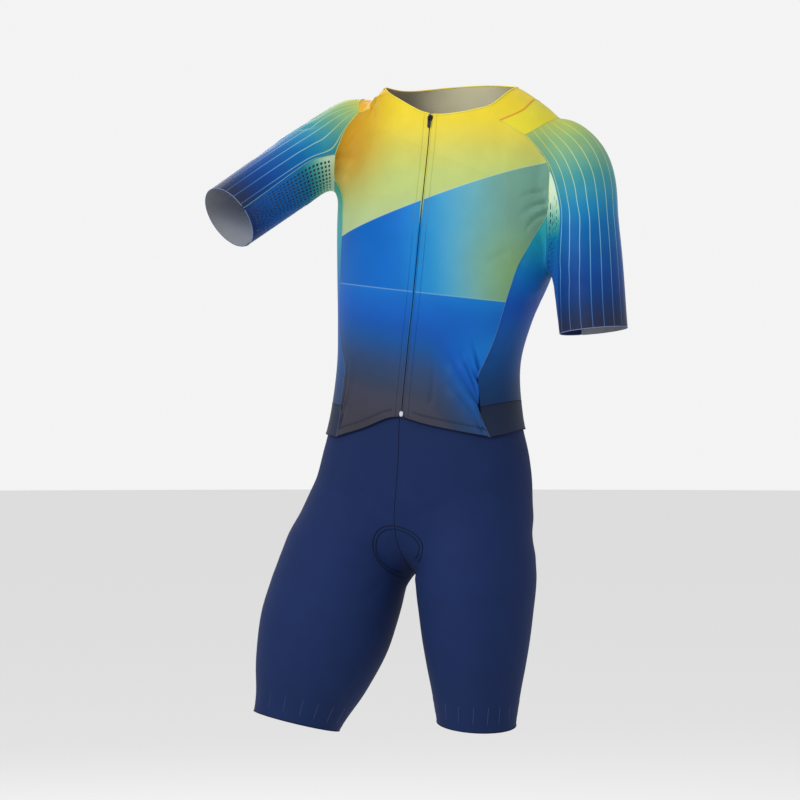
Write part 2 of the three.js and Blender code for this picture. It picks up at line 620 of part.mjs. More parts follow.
function meshFrom(name, points, faces, colour, finish = {}) {
  const geometry = new THREE.BufferGeometry();
  const places = points.flatMap((p) => p.toArray());
  geometry.setAttribute('position', new THREE.Float32BufferAttribute(places, 3));
  geometry.setIndex(faces.flat());
  geometry.computeVertexNormals();
  const material = new THREE.MeshStandardMaterial({
    color: new THREE.Color(colour), roughness: finish.roughness ?? 0.8, metalness: finish.metalness ?? 0,
  });
  const mesh = new THREE.Mesh(geometry, material);
  mesh.name = name;
  return mesh;
}

const suit = new THREE.Group();
suit.name = 'triathlon_suit';

// Fronts: zip edge to side seam and armhole, with a tongue between the neck and the yoke.
function frontPiece(name, side, hem, neck) {
  const { seams } = side;
  const armEdge = joined(seams.frontToBand, seams.frontToSide, seams.armFrontLow, seams.armFrontHigh);
  const neckMain = neck.slice(0, CUTS.neckMain + 1);
  const neckTongue = neck.slice(CUTS.neckMain);
  const tongueFoot = seam([neckMain[CUTS.neckMain], side.at.yokeNeckFront], CUTS.shoulderSeam);
  const crossLine = meetAt(tongueFoot, neckMain[CUTS.neckMain], side.at.yokeNeckFront);
  const neckEdge = joined(neckMain, crossLine, backwards(seams.frontToYoke));
  const main = fillGrid(hem, neckEdge, zipLine, armEdge, 6);
  const tongue = fillGrid(crossLine, backwards(seams.shoulderSeam), neckTongue, seams.accentFront);
  return clothPiece(name, [main, tongue], '#1f7fc4', {
    rims: [{ line: zipLine, gap: ZIP_HALF }, { line: hem, gap: 0 }, { line: neck, gap: 0 }],
  });
}
suit.add(frontPiece('front_left', left, hemLeft, neckLeft));
suit.add(frontPiece('front_right', right, hemRight, neckRight));

// Back: one piece between the side seams, the back armholes, the yokes and the neck.
function backSide({ seams }) {
  return joined(seams.sideToBack, seams.armBackLow, seams.armBackHigh, seams.backToYoke, seams.accentBack);
}
const backTop = joined(left.seams.shoulderSeam, neckBack, backwards(right.seams.shoulderSeam));
const backGrid = fillGrid(bandTopBack, backTop, backSide(left), backSide(right));
suit.add(clothPiece('back', [backGrid], '#1f72b8', { rims: [{ line: neckBack, gap: 0 }] }));

// Side panels, under the arm, and the band round the sides and the back.
function sidePanel(name, { seams }, bandTopPart) {
  const grid = fillGrid(bandTopPart, seams.underarm, seams.frontToSide, seams.sideToBack);
  return clothPiece(name, [grid], '#0a55a8');
}
suit.add(sidePanel('side_panel_left', left, bandTopLeft));
suit.add(sidePanel('side_panel_right', right, bandTopRight));
const bandTop = joined(bandTopLeft, bandTopBack, backwards(bandTopRight));
const bandGrid = fillGrid(bandFoot, bandTop, left.seams.frontToBand, right.seams.frontToBand);
suit.add(clothPiece('hem_band', [bandGrid], '#232d4b', { rims: [{ line: bandFoot, gap: 0 }] }));

// Yokes over the shoulders.
function yokePiece(name, { seams }) {
  const neckEdge = joined(seams.accentFront, backwards(seams.accentBack));
  const grid = fillGrid(seams.yokeToSleeve, neckEdge, seams.frontToYoke, seams.backToYoke);
  return clothPiece(name, [grid], '#e8cf45');
}
suit.add(yokePiece('yoke_left', left));
suit.add(yokePiece('yoke_right', right));

// Sleeves: the striped outer piece and the open-knit inner piece of each.
function sleevePieces(which, { seams }) {
  const outerRoot = joined(seams.armFrontHigh, seams.yokeToSleeve, backwards(seams.armBackHigh));
  const innerRoot = joined(backwards(seams.armFrontLow), seams.underarm, seams.armBackLow);
  const half = (outerRoot.length - 1) / 2;
  const frontHalf = fillGrid(outerRoot.slice(0, half + 1), seams.cuffOuter.slice(0, half + 1),
    seams.meshFront, seams.ridge);
  const backHalf = fillGrid(outerRoot.slice(half), seams.cuffOuter.slice(half), seams.ridge, seams.meshBack);
  const outer = relax(frontHalf.map((row, j) => joined(row, backHalf[j])), 6);
  const inner = fillGrid(innerRoot, seams.cuffInner, seams.meshFront, seams.meshBack);
  return [
    clothPiece(`sleeve_${which}`, [outer], '#2b8cb8', { rims: [{ line: seams.cuffOuter, gap: 0 }] }),
    clothPiece(`sleeve_mesh_${which}`, [inner], '#2f86a8', { rims: [{ line: seams.cuffInner, gap: 0 }] }),
  ];
}
suit.add(...sleevePieces('left', left));
suit.add(...sleevePieces('right', right));

// Zip.
/** A strip along part of the zip line, between two distances across it, on its own face height. */
function zipStrip(name, { fromCut, toCut, colour, face, wall }, near, far) {
  const rows = [];
  for (let j = fromCut; j <= toCut; j += 1) {
    const before = zipLine[Math.max(j - 1, 0)];
    const after = zipLine[Math.min(j + 1, FRONT_CUTS)];
    const across = after.clone().sub(before).cross(outward(zipLine[j])).normalize();
    rows.push([near, far].map((distance) => layOn(zipLine[j].clone().addScaledVector(across, distance))));
  }
  const rims = [{ line: rows.flat(), gap: 0 }];
  return clothPiece(name, [rows], colour, { face, wall, rims, folded: false });
}
const TAPE = { near: 0.15, far: 7.5, face: -0.3, wall: 1, colour: '#15161c', fromCut: 1, toCut: FRONT_CUTS };
const COIL = { half: 1.3, face: 1.1, wall: 1.1, colour: '#101116', fromCut: 2, toCut: FRONT_CUTS - 1 };
suit.add(zipStrip('zip_tape_left', TAPE, TAPE.near, TAPE.far));
suit.add(zipStrip('zip_tape_right', TAPE, -TAPE.far, -TAPE.near));
suit.add(zipStrip('zip_coil', COIL, -COIL.half, COIL.half));

// Zip hardware, each piece a solid joined and cut from plates.
const wasm = await Module();
wasm.setup();

function solidOf(geometry) {
  const plain = geometry.index ? geometry.toNonIndexed() : geometry;
  const positions = plain.attributes.position;
  const indexAt = new Map();
  const vertices = [];
  const triangles = [];
  for (let k = 0; k < positions.count; k += 1) {
    const p = new THREE.Vector3().fromBufferAttribute(positions, k);
    const key = p.toArray().map((value) => Math.round(value * 1e4)).join();
    if (!indexAt.has(key)) {
      indexAt.set(key, vertices.length / 3);
      vertices.push(p.x, p.y, p.z);
    }
    triangles.push(indexAt.get(key));
  }
  return new wasm.Manifold(new wasm.Mesh({
    numProp: 3, vertProperties: new Float32Array(vertices), triVerts: new Uint32Array(triangles),
  }));
}

/** Axes at a place below the zip's top: x across to the wearer's left, y up the zip, z out of the cloth. */
function zipFrame(cutsBelowTop) {
  const whole = Math.floor(cutsBelowTop);
  const last = FRONT_CUTS - whole;
  const origin = layOn(zipLine[last].clone().lerp(zipLine[last - 1], cutsBelowTop - whole));
  const out = outward(origin);
  const up = zipLine[last].clone().sub(zipLine[last - 1]);
  up.addScaledVector(out, -up.dot(out)).normalize();
  const across = up.clone().cross(out);
  return new THREE.Matrix4().makeBasis(across, up, out).setPosition(origin);
}

/** A plate of the given outline, holes and rounded edges, lying between two heights above the cloth. */
function plate(outline, low, high, bevel, hole = null) {
  const shape = new THREE.Shape(outline.map(([x, y]) => new THREE.Vector2(x, y)));
  if (hole) shape.holes.push(new THREE.Path(hole.map(([x, y]) => new THREE.Vector2(x, y))));
  const geometry = new THREE.ExtrudeGeometry(shape, {
    depth: high - low - 2 * bevel, bevelEnabled: bevel > 0, bevelThickness: bevel, bevelSize: bevel,
    bevelOffset: -bevel, bevelSegments: 1,
  });
  return geometry.translate(0, 0, low + bevel);
}

function hardware(name, solid, frame, colour) {
  const { vertProperties, triVerts, numProp } = solid.getMesh();
  const points = [];
  for (let k = 0; k < vertProperties.length; k += numProp) {
    points.push(new THREE.Vector3(...vertProperties.slice(k, k + 3)).applyMatrix4(frame));
  }
  const faces = [];
  for (let k = 0; k < triVerts.length; k += 3) faces.push([...triVerts.slice(k, k + 3)]);
  return meshFrom(name, points, faces, colour, { roughness: 0.35, metalness: 0.8 });
}

// Slider: a shield-shaped plate over the zip, with a bridge along it that the pull tab hangs from.
const SLIDER = { half: 4, top: 5, foot: -5, low: 2.1, high: 3.4 };
const BRIDGE = { half: 0.8, top: 4.1, foot: -4.1, post: 1.2, under: 5.7, over: 7.1 };
const sliderFrame = zipFrame(0.5);
const sliderOutline = [[-2.4, SLIDER.foot], [2.4, SLIDER.foot], [SLIDER.half, -1], [SLIDER.half, 3.4],
  [2.6, SLIDER.top], [-2.6, SLIDER.top], [-SLIDER.half, 3.4], [-SLIDER.half, -1]];
const bridgeLong = BRIDGE.top - BRIDGE.foot;
const bridgeRoot = SLIDER.high - 0.4;
const bridgeBlock = new THREE.BoxGeometry(2 * BRIDGE.half, bridgeLong, BRIDGE.over - bridgeRoot)
  .translate(0, 0, (BRIDGE.over + bridgeRoot) / 2);
const bridgeSlot = new THREE.BoxGeometry(4, bridgeLong - 2 * BRIDGE.post, BRIDGE.under - SLIDER.high)
  .translate(0, 0, (BRIDGE.under + SLIDER.high) / 2);
const sliderPlate = solidOf(plate(sliderOutline, SLIDER.low, SLIDER.high, 0.25));
const slider = sliderPlate.add(solidOf(bridgeBlock)).subtract(solidOf(bridgeSlot));
suit.add(hardware('zip_slider', slider, sliderFrame, '#2e3036'));

// Pull tab: hangs down the zip; its cross bar lies under the bridge and turns there.
const TAB = { pinY: 0.5, pinHeight: 4.6, half: 2.6, arm: 1.3, bar: 1.2, long: 18, thick: 1 };
const tabTop = TAB.pinY + TAB.bar / 2;
const tabOutline = [[-TAB.half, tabTop], [-TAB.half, -6], [-2.1, tabTop - TAB.long + 1.5],
  [-1.2, tabTop - TAB.long], [1.2, tabTop - TAB.long], [2.1, tabTop - TAB.long + 1.5], [TAB.half, -6],
  [TAB.half, tabTop]];
const tabHole = [[-TAB.arm, TAB.pinY - TAB.bar / 2], [TAB.arm, TAB.pinY - TAB.bar / 2], [TAB.arm, -5.4],
  [-TAB.arm, -5.4]];
const tabPlate = plate(tabOutline, TAB.pinHeight - TAB.thick / 2, TAB.pinHeight + TAB.thick / 2, 0, tabHole);
suit.add(hardware('zip_pull', solidOf(tabPlate), sliderFrame, '#2e3036'));

// Retainer: the small metal box that closes the foot of the zip.
const retainerOutline = [[-1.6, -4], [1.6, -4], [3, -1.6], [3, 2.2], [1.4, 4], [-1.4, 4], [-3, 2.2],
  [-3, -1.6]];
const retainer = solidOf(plate(retainerOutline, 2.1, 4.1, 0.4));
suit.add(hardware('zip_retainer', retainer, zipFrame(FRONT_CUTS - 0.3), '#b9bbbf'));

// Shorts.
// Middle seam of the shorts, from the front waist under the crotch to the back waist.
const MIDDLE_SEAM = [[-36, -98, -425], [-37, -102, -484], [-38, -105, -547], [-42, -103, -590],
  [-49, -94, -638], [-52, -80, -668], [-53, -58, -694], [-53, -30, -708], [-53, 0, -714], [-53, 34, -706],
  [-53, 66, -690], [-52, 96, -664], [-50, 116, -628], [-48, 120, -590], [-42, 106, -545], [-38, 92, -490],
  [-36, 87, -425]];
const CROTCH_INDEX = 8;

// Centre line of each leg piece: a point and the downward direction of the row there.
const LEG_ROWS = {
  left: [
    { x: 22, y: -4, z: -438, downX: 0, downY: 0 },
    { x: 34, y: 4, z: -540, downX: 0, downY: 0 },
    { x: 40, y: 4, z: -640, downX: 0, downY: 0 },
    { x: 42, y: 0, z: -714, downX: 0, downY: 0 },
    { x: 43, y: 0, z: -830, downX: -0.04, downY: 0.03 },
    { x: 43, y: 0, z: -940, downX: -0.1, downY: 0.09 },
  ],
  right: [
    { x: -96, y: -4, z: -438, downX: 0, downY: 0 },
    { x: -116, y: 2, z: -540, downX: 0, downY: 0 },
    { x: -142, y: -4, z: -640, downX: -0.04, downY: -0.04 },
    { x: -160, y: -20, z: -714, downX: -0.1, downY: -0.1 },
    { x: -187, y: -50, z: -830, downX: -0.18, downY: -0.16 },
    { x: -213, y: -77, z: -942, downX: -0.2, downY: -0.15 },
  ],
};
const LEG_UP_CUTS = 26;
const LEG_ROUND_CUTS = 22;
const CROTCH_ROW = 14;     // the row of a leg's grid that passes through the crotch
const CROTCH_TABLE_ROW = 3;

/** The place where a falling run of points crosses a height. */
function crossing(points, z) {
  for (let i = 1; i < points.length; i += 1) {
    const above = points[i - 1];
    const below = points[i];
    if (above.z >= z && below.z <= z) return above.clone().lerp(below, (above.z - z) / (above.z - below.z));
  }
  throw new Error('the middle seam does not cross the height ' + z);
}

/** The form's skin met by a ray from inside it. */
function skinFrom(centre, direction) {
  let near = 0;
  let far = 1;
  while (formDistance(centre.clone().addScaledVector(direction, far)) < 0) {
    near = far;
    far += 4;
  }
  for (let i = 0; i < 24; i += 1) {
    const half = (near + far) / 2;
    if (formDistance(centre.clone().addScaledVector(direction, half)) < 0) near = half;
    else far = half;
  }
  return centre.clone().addScaledVector(direction, (near + far) / 2);
}

// The middle seam as many points, in two falling halves that meet at the crotch.
const SEAM_STEPS = 12;
const middleControls = MIDDLE_SEAM.map((p) => new THREE.Vector3(...p));
const middleCurve = new THREE.CatmullRomCurve3(middleControls, false, 'centripetal');
const middlePoints = middleCurve.getPoints((MIDDLE_SEAM.length - 1) * SEAM_STEPS).map(layOn);
const crotch = middlePoints[CROTCH_INDEX * SEAM_STEPS];
const frontHalf = middlePoints.slice(0, CROTCH_INDEX * SEAM_STEPS + 1);
const backHalf = middlePoints.slice(CROTCH_INDEX * SEAM_STEPS).reverse();

/** The height of a row of a leg's grid: even steps from the waist to the crotch and on to the hem. */
function legRowHeight(rows, j) {
  const [top, lowest, hem] = [rows[0].z, rows[CROTCH_TABLE_ROW].z, rows[rows.length - 1].z];
  if (j <= CROTCH_ROW) return top + ((lowest - top) * j) / CROTCH_ROW;
  return lowest + ((hem - lowest) * (j - CROTCH_ROW)) / (LEG_UP_CUTS - CROTCH_ROW);
}

/** The grid of one leg, waist to hem, each row running round from the middle seam to the middle seam. */
function legGrid(rows, sign) {
  const rowAt = makeLookup(rows, 'z');
  const grid = [];
  for (let j = 0; j <= LEG_UP_CUTS; j += 1) {
    const z = legRowHeight(rows, j);
    const { x, y, downX, downY } = rowAt(z);
    const centre = new THREE.Vector3(x, y, z);
    const down = new THREE.Vector3(downX, downY, -1).normalize();
    const front = new THREE.Vector3(0, -1, 0);
    front.addScaledVector(down, -front.dot(down)).normalize();
    const side = front.clone().cross(down).multiplyScalar(sign);
    const turnOf = (p) => {
      const offset = p.clone().sub(centre);
      return Math.atan2(offset.dot(side), offset.dot(front));
    };
    const onSeam = j <= CROTCH_ROW;
    const first = j < CROTCH_ROW ? layOn(crossing(frontHalf, z)) : crotch.clone();
    const last = j < CROTCH_ROW ? layOn(crossing(backHalf, z)) : crotch.clone();
    const firstTurn = onSeam ? turnOf(first) : -Math.PI / 2;
    let lastTurn = onSeam ? turnOf(last) : -Math.PI / 2;
    if (lastTurn <= firstTurn + 0.5) lastTurn += 2 * Math.PI;
    const row = [];
    for (let i = 0; i <= LEG_ROUND_CUTS; i += 1) {
      const u = i / LEG_ROUND_CUTS;
      const turn = firstTurn + (lastTurn - firstTurn) * u;
      const direction = front.clone().multiplyScalar(Math.cos(turn)).addScaledVector(side, Math.sin(turn));
      // near the middle seam the row bends to meet it at the seam's own height
      const nearFirst = Math.max(1 - u / 0.35, 0) ** 2;
      const nearLast = Math.max(1 - (1 - u) / 0.35, 0) ** 2;
      const firstDrop = first.clone().sub(centre).dot(down);
      const lastDrop = last.clone().sub(centre).dot(down);
      const drop = onSeam ? firstDrop * nearFirst + lastDrop * nearLast : 0;
      row.push(skinFrom(centre.clone().addScaledVector(down, drop), direction));
    }
    if (onSeam) row[0] = first;
    row[LEG_ROUND_CUTS] = onSeam ? last : row[0].clone();
    grid.push(row);
  }
  return grid;
}
for (const [which, sign] of [['left', 1], ['right', -1]]) {
  const grid = legGrid(LEG_ROWS[which], sign);
  suit.add(clothPiece(`short_${which}`, [grid], '#26335f', {
    face: SHORTS_FACE, rims: [{ line: grid[0], gap: 0 }, { line: grid[LEG_UP_CUTS], gap: 0 }], folded: false,
  }));
}

export default suit;
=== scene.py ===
"""The triathlon suit, dressed: a worn, hollow form in the photograph's pose. Lengths are in metres."""
import math

import bmesh
import bpy
import numpy as np
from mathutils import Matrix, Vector
from mathutils.bvhtree import BVHTree
from mathutils.kdtree import KDTree


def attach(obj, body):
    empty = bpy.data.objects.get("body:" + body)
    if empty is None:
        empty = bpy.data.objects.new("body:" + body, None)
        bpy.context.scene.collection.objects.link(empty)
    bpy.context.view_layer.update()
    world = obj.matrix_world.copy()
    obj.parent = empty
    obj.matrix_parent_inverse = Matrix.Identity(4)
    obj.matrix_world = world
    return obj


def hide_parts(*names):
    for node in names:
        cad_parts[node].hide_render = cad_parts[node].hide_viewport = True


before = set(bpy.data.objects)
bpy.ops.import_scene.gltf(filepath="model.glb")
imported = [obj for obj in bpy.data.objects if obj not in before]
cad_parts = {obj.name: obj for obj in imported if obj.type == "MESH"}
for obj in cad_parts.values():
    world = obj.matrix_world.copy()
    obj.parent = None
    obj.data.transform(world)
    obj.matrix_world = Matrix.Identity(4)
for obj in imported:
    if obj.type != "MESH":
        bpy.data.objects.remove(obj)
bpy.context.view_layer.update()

# The view: the camera stands a little to the wearer's left of straight ahead, level with the waist and far
# off. The studio is white all round, with one large lamp high on the left, a weak one on the right and
# one behind.
azimuth = math.radians(25)
camera_distance = 4.2
lens_for_picture = 126
picture_width = 1.2
towards_camera = Vector((math.sin(azimuth), -math.cos(azimuth), 0))
rightwards = Vector((math.cos(azimuth), math.sin(azimuth), 0))
picture_centre = rightwards * -0.075 + Vector((0, 0, -0.4575))
bpy.ops.object.select_all(action="DESELECT")
bpy.ops.object.camera_add(
    location=picture_centre + towards_camera * camera_distance, rotation=(math.radians(90), 0, azimuth)
)
camera = bpy.context.object
camera.data.sensor_width = lens_for_picture * picture_width / camera_distance
camera.data.lens = lens_for_picture
bpy.context.scene.camera = camera


def add_lamp(place, watts, size):
    """A square soft lamp that faces the middle of the suit."""
    aim = (picture_centre - place).to_track_quat("-Z", "Y").to_euler()
    bpy.ops.object.light_add(type="AREA", location=place, rotation=aim)
    bpy.context.object.data.energy = watts
    bpy.context.object.data.size = size


add_lamp(towards_camera * 2.8 - rightwards * 2.4 + Vector((0, 0, 1.5)), 110, 1.8)
add_lamp(towards_camera * 2.6 + rightwards * 2.4 + Vector((0, 0, 0.4)), 7, 2.0)
add_lamp(towards_camera * -2.6 - rightwards * 1.0 + Vector((0, 0, 1.4)), 30, 1.8)

studio = bpy.data.worlds.new("studio")
studio.use_nodes = True
studio.node_tree.nodes["Background"].inputs["Color"].default_value = (1, 1, 1, 1)
studio.node_tree.nodes["Background"].inputs["Strength"].default_value = 0.9
bpy.context.scene.world = studio
bpy.context.scene.view_settings.view_transform = "Standard"

floor_height = -1.55
bpy.ops.mesh.primitive_circle_add(vertices=96, radius=30, fill_type="NGON", location=(0, 0, floor_height))
floor = bpy.context.object
floor.name = "studio_floor"


def linear(hex_colour):
    """A colour as written in paint charts, #rrggbb, turned into the shader's linear values."""
    parts = [int(hex_colour[k:k + 2], 16) / 255 for k in (1, 3, 5)]
    return tuple(c / 12.92 if c < 0.04045 else ((c + 0.055) / 1.055) ** 2.4 for c in parts) + (1,)


def add_node(tree, kind, inputs=(), **settings):
    """Adds a shader node; each input is a number, a colour or another node's output."""
    item = tree.nodes.new(kind)
    for key, value in settings.items():
        setattr(item, key, value)
    for key, value in dict(inputs).items():
        if isinstance(value, bpy.types.NodeSocket):
            tree.links.new(value, item.inputs[key])
        else:
            item.inputs[key].default_value = value
    return item


def calculate(tree, operation, first, second=0.0):
    return add_node(tree, "ShaderNodeMath", {0: first, 1: second}, operation=operation).outputs[0]


def blend(tree, share, under, over):
    """One colour laid over another by a share from 0 to 1."""
    mixer = add_node(tree, "ShaderNodeMix", {0: share, 6: under, 7: over}, data_type="RGBA")
    return mixer.outputs[2]


def fade(tree, value, start, end):
    """0 at the start, 1 at the end, and a soft step between them."""
    inputs = {"Value": value, "From Min": start, "From Max": end}
    return add_node(tree, "ShaderNodeMapRange", inputs, interpolation_type="SMOOTHSTEP").outputs[0]


def ombre(tree, value, stops):
    """A dyed fade: stops are real values, rising, each with its colour."""
    low = stops[0][0]
    high = stops[-1][0]
    share = add_node(tree, "ShaderNodeMapRange", {"Value": value, "From Min": low, "From Max": high})
    ramp = add_node(tree, "ShaderNodeValToRGB", {"Fac": share.outputs[0]})
    band = ramp.color_ramp
    band.interpolation = "CARDINAL"
    while len(band.elements) < len(stops):
        band.elements.new(0.5)
    for element, (place, colour) in zip(band.elements, stops):
        element.position = (place - low) / (high - low)
        element.color = linear(colour)
    return ramp.outputs[0]


def new_material(name, roughness, **sockets):
    """An empty finish: its material, node tree and shader."""
    material = bpy.data.materials.new(name)
    material.use_nodes = True
    shader = material.node_tree.nodes["Principled BSDF"]
    shader.inputs["Roughness"].default_value = roughness
    for key, value in sockets.items():
        shader.inputs[key.replace("_", " ").title().replace("Ior", "IOR")].default_value = value
    return material, material.node_tree, shader


def place_of(tree):
    """The cloth's place in the suit's own frame, and its three parts."""
    coordinates = add_node(tree, "ShaderNodeTexCoord").outputs["Object"]
    parts = add_node(tree, "ShaderNodeSeparateXYZ", {0: coordinates})
    return coordinates, parts.outputs[0], parts.outputs[1], parts.outputs[2]


stitch_rise = 0.00012
loop_width = 0.0011
ink_depth = 0.63


def finish_knit(tree, shader, coordinates, colour, depth=0.25):
    """Colours the cloth and gives it the fine ribs and the slight unevenness of a stretch knit."""
    cloud = add_node(tree, "ShaderNodeTexNoise", {"Vector": coordinates, "Scale": 26, "Detail": 3})
    shade = fade(tree, cloud.outputs[0], 0.25, 0.75)
    tint = add_node(tree, "ShaderNodeHueSaturation", {"Color": colour})
    depth_of_ink = calculate(tree, "ADD", calculate(tree, "MULTIPLY", shade, 0.05), ink_depth)
    tree.links.new(depth_of_ink, tint.inputs["Value"])
    tree.links.new(tint.outputs[0], shader.inputs["Base Color"])
    ribs = add_node(
        tree, "ShaderNodeTexWave", {"Vector": coordinates, "Scale": 1 / loop_width / 20, "Distortion": 0.6},
        bands_direction="DIAGONAL"
    )
    loops = add_node(tree, "ShaderNodeTexVoronoi", {"Vector": coordinates, "Scale": 1 / loop_width})
    height = calculate(tree, "ADD", ribs.outputs[1], loops.outputs[0])
    bump = add_node(
        tree, "ShaderNodeBump", {"Strength": depth, "Distance": stitch_rise, "Height": height}
    )
    tree.links.new(bump.outputs[0], shader.inputs["Normal"])


def dyed_knit(name, roughness, axis, stops, **sockets):
    """A plain knit whose dye changes along one axis of the suit, x or z."""
    material, tree, shader = new_material(name, roughness, **sockets)
    coordinates, *parts = place_of(tree)
    finish_knit(tree, shader, coordinates, ombre(tree, parts["xyz".index(axis)], stops))
    return material


# The fronts: two mirrored panels of fine stretch knit, printed before sewing. They run from the zip to the
# side seam and armhole, and up beside the neck to the shoulder. The print is a set of broad slanting bands.
weld_distance = 0.00001
rim_edge = 0.002
corner_bend = math.radians(140)
cloth_thickness = 0.0009
skins = {}
rims = {}


def select_only(piece):
    bpy.ops.object.select_all(action="DESELECT")
    piece.select_set(True)
    bpy.context.view_layer.objects.active = piece


def places(mesh):
    flat = np.empty(len(mesh.vertices) * 3, np.float32)
    mesh.vertices.foreach_get("co", flat)
    return flat.reshape(-1, 3).astype(float)


def move_points(mesh, points):
    mesh.vertices.foreach_set("co", points.astype(np.float32).ravel())
    mesh.update()


def normals_of(mesh):
    flat = np.empty(len(mesh.vertices) * 3, np.float32)
    mesh.vertex_normals.foreach_get("vector", flat)
    return flat.reshape(-1, 3).astype(float)


def squareness(edge):
    """How far from square the quad would be that two triangles make across their shared edge."""
    first, second = edge.verts
    tips = [next(vertex for vertex in face.verts if vertex not in edge.verts) for face in edge.link_faces]
    ring = [first.co, tips[0].co, second.co, tips[1].co]
    sides = [(ring[(k + 1) % 4] - ring[k]).normalized() for k in range(4)]
    return sum(abs(sides[k].dot(sides[k - 1])) for k in range(4))


def pair_triangles(cloth):
    """Joins each two triangles that are halves of one quad: first those with no other choice."""
    cloth.edges.index_update()
    cloth.faces.index_update()
    shared = sorted((edge for edge in cloth.edges if len(edge.link_faces) == 2), key=squareness, reverse=True)
    free = [True] * len(cloth.faces)
    forced = []
    joined = []

    def choices(face):
        return [
            edge for edge in face.edges
            if len(edge.link_faces) == 2 and all(free[other.index] for other in edge.link_faces)
        ]

    while shared or forced:
        if forced:
            face = forced.pop()
            options = choices(face) if free[face.index] else []
        else:
            edge = shared.pop()
            options = [edge] if all(free[face.index] for face in edge.link_faces) else []
        if not options:
            continue
        joined.append(options[0])
        for face in options[0].link_faces:
            free[face.index] = False
        for face in options[0].link_faces:
            for neighbour in [other for edge in face.edges for other in edge.link_faces]:
                if free[neighbour.index] and len(choices(neighbour)) == 1:
                    forced.append(neighbour)
    bmesh.ops.dissolve_edges(cloth, edges=joined, use_verts=False)


def sharpen_corners(cloth):
    """Marks the rim's corners, those that point inwards too, so that subdividing doesn't round them off."""
    sharpness = cloth.verts.layers.float.new("crease_vert")
    for vertex in cloth.verts:
        ends = [edge.other_vert(vertex).co for edge in vertex.link_edges if edge.is_boundary]
        if len(ends) == 2:
            bend = (ends[0] - vertex.co).angle(ends[1] - vertex.co)
            vertex[sharpness] = 1.0 if bend < corner_bend else 0.0


def outer_side(node):
    """The outer side of a cloth wall, without its rim and inner side, in quads again."""
    piece = bpy.data.objects.new(node + "_cloth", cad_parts[node].data.copy())
    bpy.context.scene.collection.objects.link(piece)
    piece.data.materials.clear()
    wall = bmesh.new()
    wall.from_mesh(piece.data)
    bmesh.ops.remove_doubles(wall, verts=wall.verts, dist=weld_distance)
    seen = {face for face in wall.faces if min(edge.calc_length() for edge in face.edges) < rim_edge}
    sides = []
    for first in wall.faces:
        if first in seen:
            continue
        seen.add(first)
        side = [first]
        for face in side:
            for neighbour in [other for edge in face.edges for other in edge.link_faces]:
                if neighbour not in seen:
                    seen.add(neighbour)
                    side.append(neighbour)
        sides.append(side)
    outer = set(max(sides, key=lambda side: sum(face.calc_area() for face in side)))
    bmesh.ops.delete(wall, geom=[face for face in wall.faces if face not in outer], context="FACES")
    pair_triangles(wall)
    sharpen_corners(wall)
    wall.to_mesh(piece.data)
    wall.free()
    return piece


folded_over = 0.3
rings_around = 4
relaxing_rounds = 40


def refine(piece, levels):
    """Subdivides a piece so that it still passes through its points, and relaxes cells that folded over."""
    before = BVHTree.FromPolygons(
        [vertex.co for vertex in piece.data.vertices], [tuple(face.vertices) for face in piece.data.polygons]
    )
    finer = piece.modifiers.new("finer", "SUBSURF")
    finer.levels = levels
    finer.render_levels = levels
    finer.boundary_smooth = "PRESERVE_CORNERS"
    goal = places(piece.data)
    for _ in range(3):
        depsgraph = bpy.context.evaluated_depsgraph_get()
        reached = places(piece.evaluated_get(depsgraph).data)[:len(goal)]
        move_points(piece.data, places(piece.data) + goal - reached)
    select_only(piece)
    bpy.ops.object.modifier_apply(modifier="finer")
    cloth = bmesh.new()
    cloth.from_mesh(piece.data)
    region = set()
    for face in cloth.faces:
        old_normal = before.find_nearest(face.calc_center_median())[1]
        if face.normal.dot(old_normal) < folded_over:
            region.update(face.verts)
    for _ in range(rings_around):
        region |= {edge.other_vert(vertex) for vertex in region for edge in vertex.link_edges}
    loose = [vertex for vertex in region if not vertex.is_boundary]
    for _ in range(relaxing_rounds if loose else 0):
        bmesh.ops.smooth_vert(
            cloth, verts=loose, factor=0.5, use_axis_x=True, use_axis_y=True, use_axis_z=True
        )
    cloth.to_mesh(piece.data)
    cloth.free()


crease_loss = 0.85
crease_taper = 1.5
crease_reach = 0.02


def press_creases(piece, creases):
    """Lifts ridges and sinks troughs along soft, slightly bowed lines that fade away from their start."""
    points = places(piece.data)
    normals = normals_of(piece.data)
    lift = np.zeros(len(points))
    for start, end, bow, breadth, height in creases:
        start = np.array(start)
        end = np.array(end)
        along = end - start
        aside = np.cross(along, normals[np.argmin(np.linalg.norm(points - start, axis=1))])
        aside /= np.linalg.norm(aside)
        share = np.clip((points - start) @ along / (along @ along), 0, 1)
        line = start + share[:, None] * along + (bow * np.sin(math.pi * share))[:, None] * aside
        offset = points - line
        through = np.sum(offset * normals, axis=1)
        away = np.linalg.norm(offset - through[:, None] * normals, axis=1)
        near = np.abs(through) < crease_reach
        lift += near * height * (1 - crease_loss * share ** crease_taper) * np.exp(-(away / breadth) ** 2)
    move_points(piece.data, points + normals * lift[:, None])


def remember_skin(piece, node):
    """Keeps a cloth piece's outer surface and rim, for the seams and stitches that lie on it."""
    mesh = piece.data
    points = [vertex.co.copy() for vertex in mesh.vertices]
    skins[node] = BVHTree.FromPolygons(points, [tuple(face.vertices) for face in mesh.polygons])
    sheet = bmesh.new()
    sheet.from_mesh(mesh)
    following = {}
    for edge in sheet.edges:
        if edge.is_boundary:
            loop = edge.link_loops[0]
            following[loop.vert.index] = loop.link_loop_next.vert.index
    sheet.free()
    rims[node] = []
    while following:
        order = [min(following)]
        while following[order[-1]] in following and following[order[-1]] != order[0]:
            order.append(following[order[-1]])
        for corner in order:
            del following[corner]
        rims[node].append((places(mesh)[order], normals_of(mesh)[order]))


